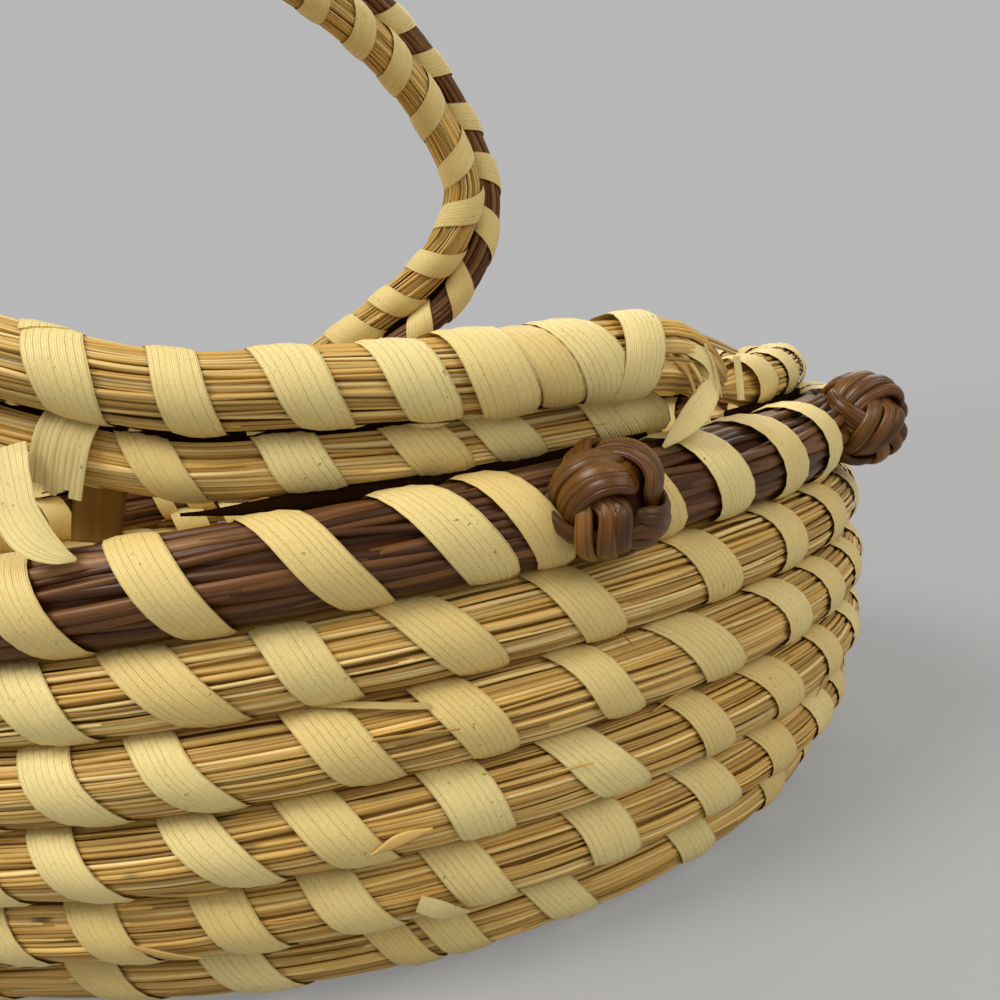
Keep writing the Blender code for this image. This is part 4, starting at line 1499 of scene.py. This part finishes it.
@dataclass
class Handle:
    """Two coils that lie along the rim, rise at the feet and cross over the top, bound side by side.

    Each kind of strip on the tails has a width and a lean.
    """

    levels: Levels
    finishes: Finishes
    route: HandlePlan = HandlePlan()
    fold: tuple[Values, ...] = ((0.90, -0.30, -0.45, 0.60), (0.45, -0.10, -0.15, 0.85))
    tail_end: float = 0.084
    under_arch: float = 0.004
    step: float = 0.0022
    light_step: float = 0.0020
    smoothing: int = 4
    rested_from: float = 0.002
    rested_to: float = 0.052
    joint_fade: float = 0.014
    between: Section = Section(0.0009, 0.0009)
    loops: int = 12
    loop_stations: int = 24
    binding_width: float = 0.0056
    binding_tint: float = 0.4
    binding_lift: float = -0.00006
    binding_sway: float = 0.0007
    binding_waves: tuple[float, float] = (0.9, 3.0)
    upper_strip: tuple[float, float] = (0.0054, 0.0016)
    upper_places: Values = (0.0020, 0.0135, 0.0246, 0.0360, 0.0462, 0.0535, 0.0592, 0.0638)
    upper_wide: Values = (1.0, 1.0, 1.0, 1.0, 1.0, 0.98, 0.95, 0.96)
    upper_raised: Values = (0.0, 0.0, 0.0, 0.0, 0.0, 0.0004, 0.0, 0.0003)
    last_strip: tuple[float, float] = (0.0048, -0.0007)
    last_place: float = 0.0690
    last_raised: float = 0.0005
    lower_strip: tuple[float, float] = (0.0052, 0.0021)
    lower_places: Values = (0.0060, 0.0312, 0.0444, 0.0566, 0.0645, 0.0790)
    lower_wide: Values = (1.0, 1.0, 1.0, 1.0, 1.0, 1.5)
    binding_start: float = 0.329
    binding_end: float = 0.982
    light_strands: Strands = Strands(70, 0.00061, 0.12, 0.00036, (0.03, 0.10), sides=4)
    dark_strands: Strands = Strands(30, 0.00120, 0.20, 0.0005, (0.03, 0.09), sides=6, vary=0.15)
    thin_strands: Strands = Strands(60, 0.00060, 0.14, 0.0003, (0.03, 0.09), sides=4)
    seed: int = 51
    tail_seed: int = 71
    sewing_seed: int = 81
    binding_seed: int = 91

    def lines(self) -> tuple[Line, Line, Array]:
        """The light coil with its ends turned down, the other coil, and the light coil's thickness share.

        Each row of fold gives a point past the light coil's end: how far ahead, out and up in coil widths,
        and the coil's thickness there as a share.
        """
        middle, toward = self.route.frames()
        gap = self.levels.touch
        path = middle + toward * (self.route.light + gap) / 2
        ahead, away, above, share = np.array(self.fold).T[..., None]
        out = unit(path[0] * [1, 1, 0])
        shift = ahead * unit(path[0] - path[1]) + away * out + above * [0, 0, 1]
        near = path[0] + self.route.light * shift
        faced = np.repeat(toward[:1], len(near), axis=0)
        scale = np.concatenate([share.ravel(), np.ones(len(middle)), share.ravel()[::-1]])
        light = Line(*(np.vstack([end, inner, end[::-1] * HALF_TURNED])
                       for end, inner in ((near, path), (faced, toward))))
        return light, Line(middle - toward * (self.route.dark + gap) / 2, toward), scale

    def tail_of(self, coil: Line) -> Line:
        """The near tail of a coil, from the foot towards the tail's end, with a level outward direction."""
        points = coil.piece(0, self.tail_end, self.step).points[::-1]
        return Line(points, unit(np.cross(travel_of(points), [0.0, 0.0, 1.0])))

    def build(self) -> None:
        """Make both coils, their strips and the arch's binding."""
        light, dark, scale = self.lines()
        whole = light.piece(0, light.length, self.light_step)
        share = np.interp(whole.distance, light.distance, scale)
        whole = Line(softened(whole.points, self.smoothing), whole.out)
        first = self.tail_end - self.under_arch
        arch = dark.piece(first, dark.length - first, self.step)
        lower = dark.piece(self.under_arch, self.tail_end, self.step)
        thick, thin = self.route.light, self.route.dark
        for name, line, width, strands, look, seed, thickness in (
            ("handle_light_bundle", whole, thick, self.light_strands, Look.STEMS, self.seed, share),
            ("handle_dark_bundle", arch, thin, self.dark_strands, Look.NEEDLES, self.seed, None),
            ("tail_lower_near", lower, thin, self.thin_strands, Look.STEMS, self.tail_seed, None),
            ("tail_lower_far", lower.turned_over(), thin, self.thin_strands, Look.STEMS,
             self.tail_seed, None),
        ):
            rng = np.random.default_rng(seed)
            shell = bundle(line, Section.round(width), strands, rng, scale=thickness)
            node = "handle_light_coil" if line is whole else "handle_pine_coil"
            self.finishes.show(shell, name, look, node)
        self.sew_tails(light, dark)
        self.bind(light, dark)
        self.close_joints(dark)

    def close_joints(self, dark: Line) -> None:
        """Close the slit between the two coils, and the one between the lower coil and the needle row, with
        near-black tubes: painted shade in the slits.
        """
        row = PineRow(self.levels, self.finishes).close_line()
        joints = Shell()
        # A near-black tube in the slit between the two coils: painted shade.
        core(joints, Line(*self.route.frames()), self.between)
        rested = dark.piece(self.rested_from, self.rested_to, self.step)
        for line in (rested, rested.turned_over()):
            joint(joints, line, self.route.dark / 2, row, self.levels.pine_thickness / 2, self.joint_fade)
        self.finishes.show(joints, "handle_joint_shade", Look.JOINTS)

    def sew_tails(self, light: Line, dark: Line) -> None:
        """Sew the tails: single strips along them, and wide ones side by side at the light coil's end."""
        upper, lower = self.tail_of(light), self.tail_of(dark)
        rng = np.random.default_rng(self.sewing_seed)
        light_section, dark_section = Section.round(self.route.light), Section.round(self.route.dark)
        for side in ("near", "far"):
            if side == "far":
                upper, lower = upper.turned_over(), lower.turned_over()
            strips = Shell()
            for (width, lean), line, section, places, wide, raised in (
                (self.upper_strip, upper, light_section,
                 self.upper_places, self.upper_wide, self.upper_raised),
                (self.last_strip, upper, light_section, (self.last_place,), (1.0,), (self.last_raised,)),
                (self.lower_strip, lower, dark_section, self.lower_places, self.lower_wide, (0.0,)),
            ):
                Stitching(Ribbon(width), lean=lean).sew(
                    strips, line, section, np.array(places), rng, np.array(wide), np.array(raised))
            self.finishes.show(strips, f"tail_strips_{side}", Look.LEAF)
            LooseEnds(upper, lower, self.finishes, side).build()

    def bind(self, light: Line, dark: Line) -> None:
        """Wind a strip round each coil of the arch, one way on the light and the other on the dark."""
        count = self.loops * self.loop_stations
        step = np.linspace(0, 1, count + 1)
        size, tint = np.ones((1, count + 1)), np.array([self.binding_tint])
        for side in ("near", "far"):
            shell = Shell()
            for coil, width, hand, shift in (
                (light, self.route.light, -1, 0.0), (dark, self.route.dark, 1, 0.5),
            ):
                half = coil.length / 2
                start, end = self.binding_start * half, self.binding_end * half
                angle = hand * TURN * (self.loops * step + shift)
                rng = np.random.default_rng(self.binding_seed)
                sway = waves(rng, step * self.loops, 1, self.binding_waves)[0]
                along = start + (end - start) * step + self.binding_sway * sway
                Ribbon(self.binding_width).lay(
                    shell, coil if side == "near" else coil.turned_over(), Section.round(width),
                    along[None], angle[None], size, size * self.binding_lift, tint)
            self.finishes.show(shell, f"arch_binding_{side}", Look.LEAF, f"handle_binding_{side}")


@dataclass(frozen=True)
class Scrap:
    """A loose strip or fibre: points ahead, out and up from a place on a tail, and widths, in millimetres.

    Facing is the way a strip's face looks at each point, or one way for all. A shaded strip takes the dark
    core finish as painted shade, as it hangs in the shade of the others.
    """

    points: tuple[Triple, ...]
    widths: Values
    tint: float
    facing: tuple[Triple, ...] = ((-0.5, 0.85, 0.1),)
    distance: float = 0.074
    on_lower: bool = False
    shaded: bool = False


END_STRIPS = (
    Scrap(((-1.5, 1.5, 2.4), (-0.2, 2.4, 1.2), (2.0, 3.2, -0.1), (3.5, 3.7, -1.4), (4.2, 3.7, -3.1),
           (3.3, 3.7, -4.8), (1.5, 3.5, -6.8), (-0.3, 2.9, -8.5), (-2.1, 2.2, -10.0)),
          (2.8, 2.4, 1.9, 1.6, 1.7, 2.5, 2.8, 1.9, 0.4), 0.1,
          ((-0.2, 0.6, 0.8), (-0.2, 0.8, 0.6), (-0.2, 0.9, 0.4), (0.1, 0.9, 0.1), (0.2, 0.95, -0.1),
           (-0.5, 0.85, 0.0), (-0.6, 0.8, 0.1), (-0.6, 0.8, 0.2), (-0.5, 0.8, 0.2))),
    Scrap(((8.6, 2.9, -0.9), (8.7, 3.0, -3.3), (8.4, 3.3, -5.7)), (0.75, 0.85, 0.8), 0.1),
    Scrap(((3.5, 3.6, 0.5), (4.2, 4.2, -2.3), (4.6, 4.4, -5.3)), (0.28, 0.24, 0.10), 0.0),
)
END_FIBRES = tuple(Scrap(*row) for row in (
    (((-2.0, 1.4, 2.9), (1.0, 1.9, 2.0), (5.0, 2.1, 0.8), (9.0, 2.4, -0.6)), (0.55, 0.5, 0.4, 0.3), 0.3),
    (((-2.0, 0.4, 3.2), (2.0, 0.9, 2.4), (6.5, 1.0, 1.3), (10.2, 1.6, -0.3)), (0.6, 0.55, 0.5, 0.3), 0.7),
    (((-2.0, 2.4, 2.2), (1.5, 3.0, 0.4), (4.0, 3.2, -2.0), (5.6, 3.3, -5.2)), (0.6, 0.6, 0.5, 0.3), 0.5),
    (((-2.0, 2.9, 1.2), (1.2, 3.1, -0.9), (3.0, 3.2, -3.4), (3.9, 3.0, -6.4)), (0.6, 0.6, 0.5, 0.4), 0.8),
    (((-2.0, 3.3, 0.0), (0.8, 3.2, -2.1), (2.0, 3.1, -4.3), (2.3, 3.0, -6.8)), (0.6, 0.6, 0.5, 0.4), 0.4),
))
TORN_STRIPS = (
    Scrap(((1.6, 5.3, -0.7), (2.4, 5.8, -1.9), (3.6, 6.4, -3.4), (5.4, 7.4, -5.7), (8.0, 8.3, -7.4),
           (10.4, 8.4, -8.2), (12.4, 8.0, -8.4)),
          (5.2, 5.2, 5.0, 4.6, 3.8, 2.4, 0.4), 0.15,
          ((0.1, 1.0, 0.1), (0.1, 1.0, 0.1), (0.0, 1.0, 0.0), (-0.1, 0.9, 0.2), (-0.1, 0.8, 0.5),
           (-0.1, 0.7, 0.6), (-0.1, 0.7, 0.6)), 0.0155, on_lower=True),
    Scrap(((-2.6, -6.6, -3.0), (-2.7, -7.5, -5.0), (-2.4, -7.2, -7.6), (-1.9, -6.8, -10.6)),
          (5.2, 5.4, 5.4, 5.2), 0.9, ((0.2, 1.0, 0.0),), 0.0245, on_lower=True, shaded=True),
)


@dataclass
class LooseEnds:
    """What comes loose at a tail: the fanned end with its folded strip, torn strips by the near foot.

    The threads of the fringe have a least reach and length, and a range over which each varies.
    """

    upper: Line
    lower: Line
    finishes: Finishes
    side: str
    fringe_from: float = 0.0196
    fringe_step: float = 0.00062
    fringe_count: int = 9
    fringe_overlap: float = 1.2
    fringe_reach: tuple[float, float] = (0.0039, 0.0002)
    fringe_length: tuple[float, float] = (0.0030, 0.0009)
    fringe_slant: float = 0.0002
    fringe_tint: float = 0.4
    fringe_angles: Values = (70, 45, 20, -5)
    fringe_stations: int = 20
    seed: int = 5

    def curve(self, scrap: Scrap) -> tuple[Array, Array, Array]:
        """Points, facing directions and widths along a scrap."""
        line = self.lower if scrap.on_lower else self.upper
        middle, out, up, ahead = line.spot(scrap.distance)
        axes = np.stack([ahead, out, up])
        count = POINTS_A_MARK * len(scrap.points)
        path = middle + threaded(np.array(scrap.points) * MILLIMETRE, count) @ axes
        faced = np.array(scrap.facing if len(scrap.facing) > 1 else scrap.facing * 2)
        facing = threaded(faced, count) @ axes
        widths = threaded(np.array(scrap.widths)[:, None] * MILLIMETRE, count)[:, 0]
        return path, facing, widths

    def build(self) -> None:
        """Make the strips and fibres of this side."""
        strips, strands = Shell(), Shell()
        for scrap in END_STRIPS + (TORN_STRIPS if self.side == "near" else ()):
            # A shaded strip goes to the strands' piece, whose second slot gives it the dark core finish:
            # painted shade.
            shell = strands if scrap.shaded else strips
            free_ribbon(shell, *self.curve(scrap), scrap.tint, int(scrap.shaded))
        for scrap in END_FIBRES:
            path, _, widths = self.curve(scrap)
            fibre(strands, path, widths, scrap.tint)
        if self.side == "near":
            self.fringe(strips)
        self.finishes.show(strips, f"loose_strips_{self.side}", Look.LEAF)
        self.finishes.show(strands, f"loose_strands_{self.side}", Look.STEMS)

    def fringe(self, shell: Shell) -> None:
        """Add a broken strip over the lower tail, split along its ribs into threads of uneven length."""
        rng = np.random.default_rng(self.seed)
        angle = np.radians(self.fringe_angles)
        count = self.fringe_stations
        widths = np.full(count, self.fringe_step * self.fringe_overlap)
        for number in range(self.fringe_count):
            middle, out, up, _ = self.lower.spot(self.fringe_from + number * self.fringe_step)
            reach, length = (least + rng.uniform(0, more)
                             for least, more in (self.fringe_reach, self.fringe_length))
            away = facing_at(angle, out, up)
            bent = middle + reach * away
            low = bent[-1] - up * length - out * self.fringe_slant
            path, facing = (threaded(np.vstack(marks), count) for marks in ((bent, low), (away, out)))
            free_ribbon(shell, path, facing, widths, rng.uniform(0, self.fringe_tint))


@dataclass
class Studio:
    """Floor, lights and camera."""

    floor_half: float = 6.0
    fade: tuple[float, float] = (0.12, 1.0)
    glow_shares: tuple[float, float] = (0.45, 1.0)
    camera_place: Triple = (0.0983, -0.1738, 0.0621)
    yaw: float = 0.315
    pitch: float = 0.104
    roll: float = -0.169
    lens: float = 43.7
    sensor: float = 36.0
    nearest: float = 0.005
    backdrop: Triple = (0.475, 0.475, 0.475)
    ground_colour: Triple = (0.355, 0.355, 0.355)
    sky: Triple = (0.86, 0.85, 0.83)
    sky_strength: float = 0.52
    lamp_colour: Triple = (1.0, 0.97, 0.92)
    aim: Triple = (0.0, 0.0, 0.05)

    def build(self) -> None:
        """Make everything that isn't the basket."""
        self.floor()
        self.world()
        self.lamps()
        self.camera()

    def floor(self) -> None:
        """A wide flat floor that fades into the backdrop's colour away from the basket; near the basket a
        share of it glows too, painted light that softens the basket's shadow.
        """
        mesh = bpy.data.meshes.new("floor")
        size = self.floor_half
        corners = [(-size, -size, 0), (size, -size, 0), (size, size, 0), (-size, size, 0)]
        mesh.from_pydata(corners, [], [(0, 1, 2, 3)])
        n = Nodes("studio_floor")
        n.shader.inputs["Base Color"].default_value = (*self.ground_colour, 1.0)
        n.sheen(0.9, 0.1)
        glow = n.add("ShaderNodeEmission")
        glow.inputs["Color"].default_value = (*self.backdrop, 1.0)
        far = n.add("ShaderNodeVectorMath", operation="LENGTH")
        n.feed(far.inputs[0], n.object_place())
        both = n.add("ShaderNodeMixShader")
        # Share of glow: partly glowing near the basket as painted light that softens its shadow, fully
        # glowing far off as the even backdrop.
        n.feed(both.inputs[0], n.remap(far.outputs["Value"], *self.fade, *self.glow_shares))
        n.feed(both.inputs[1], n.shader.outputs[0])
        n.feed(both.inputs[2], glow.outputs[0])
        n.feed(n.tree.nodes["Material Output"].inputs["Surface"], both.outputs[0])
        mesh.materials.append(n.material)
        floor = bpy.data.objects.new("floor", mesh)
        bpy.context.scene.collection.objects.link(floor)

    def world(self) -> None:
        """Even light from all round, seen as the backdrop's grey."""
        world = bpy.data.worlds.new("studio_world")
        bpy.context.scene.world = world
        world.use_nodes = True
        tree = world.node_tree
        back = tree.nodes["Background"]
        back.inputs["Color"].default_value = (*self.sky, 1.0)
        back.inputs["Strength"].default_value = self.sky_strength
        seen = tree.nodes.new("ShaderNodeBackground")
        seen.inputs["Color"].default_value = (*self.backdrop, 1.0)
        path = tree.nodes.new("ShaderNodeLightPath")
        both = tree.nodes.new("ShaderNodeMixShader")
        tree.links.new(path.outputs["Is Camera Ray"], both.inputs[0])
        tree.links.new(back.outputs[0], both.inputs[1])
        tree.links.new(seen.outputs[0], both.inputs[2])
        tree.links.new(both.outputs[0], tree.nodes["World Output"].inputs["Surface"])

    def lamps(self) -> None:
        """A large soft lamp above and to the left, a weaker one from the right and one from behind."""
        for name, size, power, spot in (
            ("key_lamp", 0.8, 17.0, (-0.45, -0.75, 1.20)),
            ("fill_lamp", 0.9, 4.5, (0.95, -0.45, 0.65)),
            ("back_lamp", 0.8, 4.0, (0.2, 1.0, 0.9)),
        ):
            lamp = bpy.data.lights.new(name, "AREA")
            lamp.shape = "DISK"
            lamp.size = size
            lamp.energy = power
            lamp.color = self.lamp_colour
            item = bpy.data.objects.new(name, lamp)
            item.location = spot
            aim = Vector(self.aim) - Vector(spot)
            item.rotation_mode = "QUATERNION"
            item.rotation_quaternion = aim.to_track_quat("-Z", "Y")
            bpy.context.scene.collection.objects.link(item)

    def camera(self) -> None:
        """The camera at the photograph's place, turned by yaw to the left, pitched down and rolled."""
        data = bpy.data.cameras.new("camera")
        data.lens = self.lens
        data.sensor_width = self.sensor
        data.clip_start = self.nearest
        item = bpy.data.objects.new("camera", data)
        turned = Matrix.Rotation(self.yaw, 3, "Z") @ Matrix.Rotation(TURN / 4 - self.pitch, 3, "X")
        item.rotation_mode = "QUATERNION"
        item.rotation_quaternion = (turned @ Matrix.Rotation(self.roll, 3, "Z")).to_quaternion()
        item.location = self.camera_place
        bpy.context.scene.collection.objects.link(item)
        bpy.context.scene.camera = item


def main() -> None:
    """Load the frame, dress the basket, set the studio and note the sizes."""
    logging.basicConfig(level=logging.INFO, format="%(message)s")
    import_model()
    bpy.context.scene.view_settings.view_transform = "Standard"
    levels, finishes = Levels(), Finishes.build()
    Wall(levels, finishes).build()
    Base(levels, finishes).build()
    PineRow(levels, finishes).build()
    RimCoils(levels, finishes).build()
    Handle(levels, finishes).build()
    Studio().build()


if __name__ == "__main__":
    main()
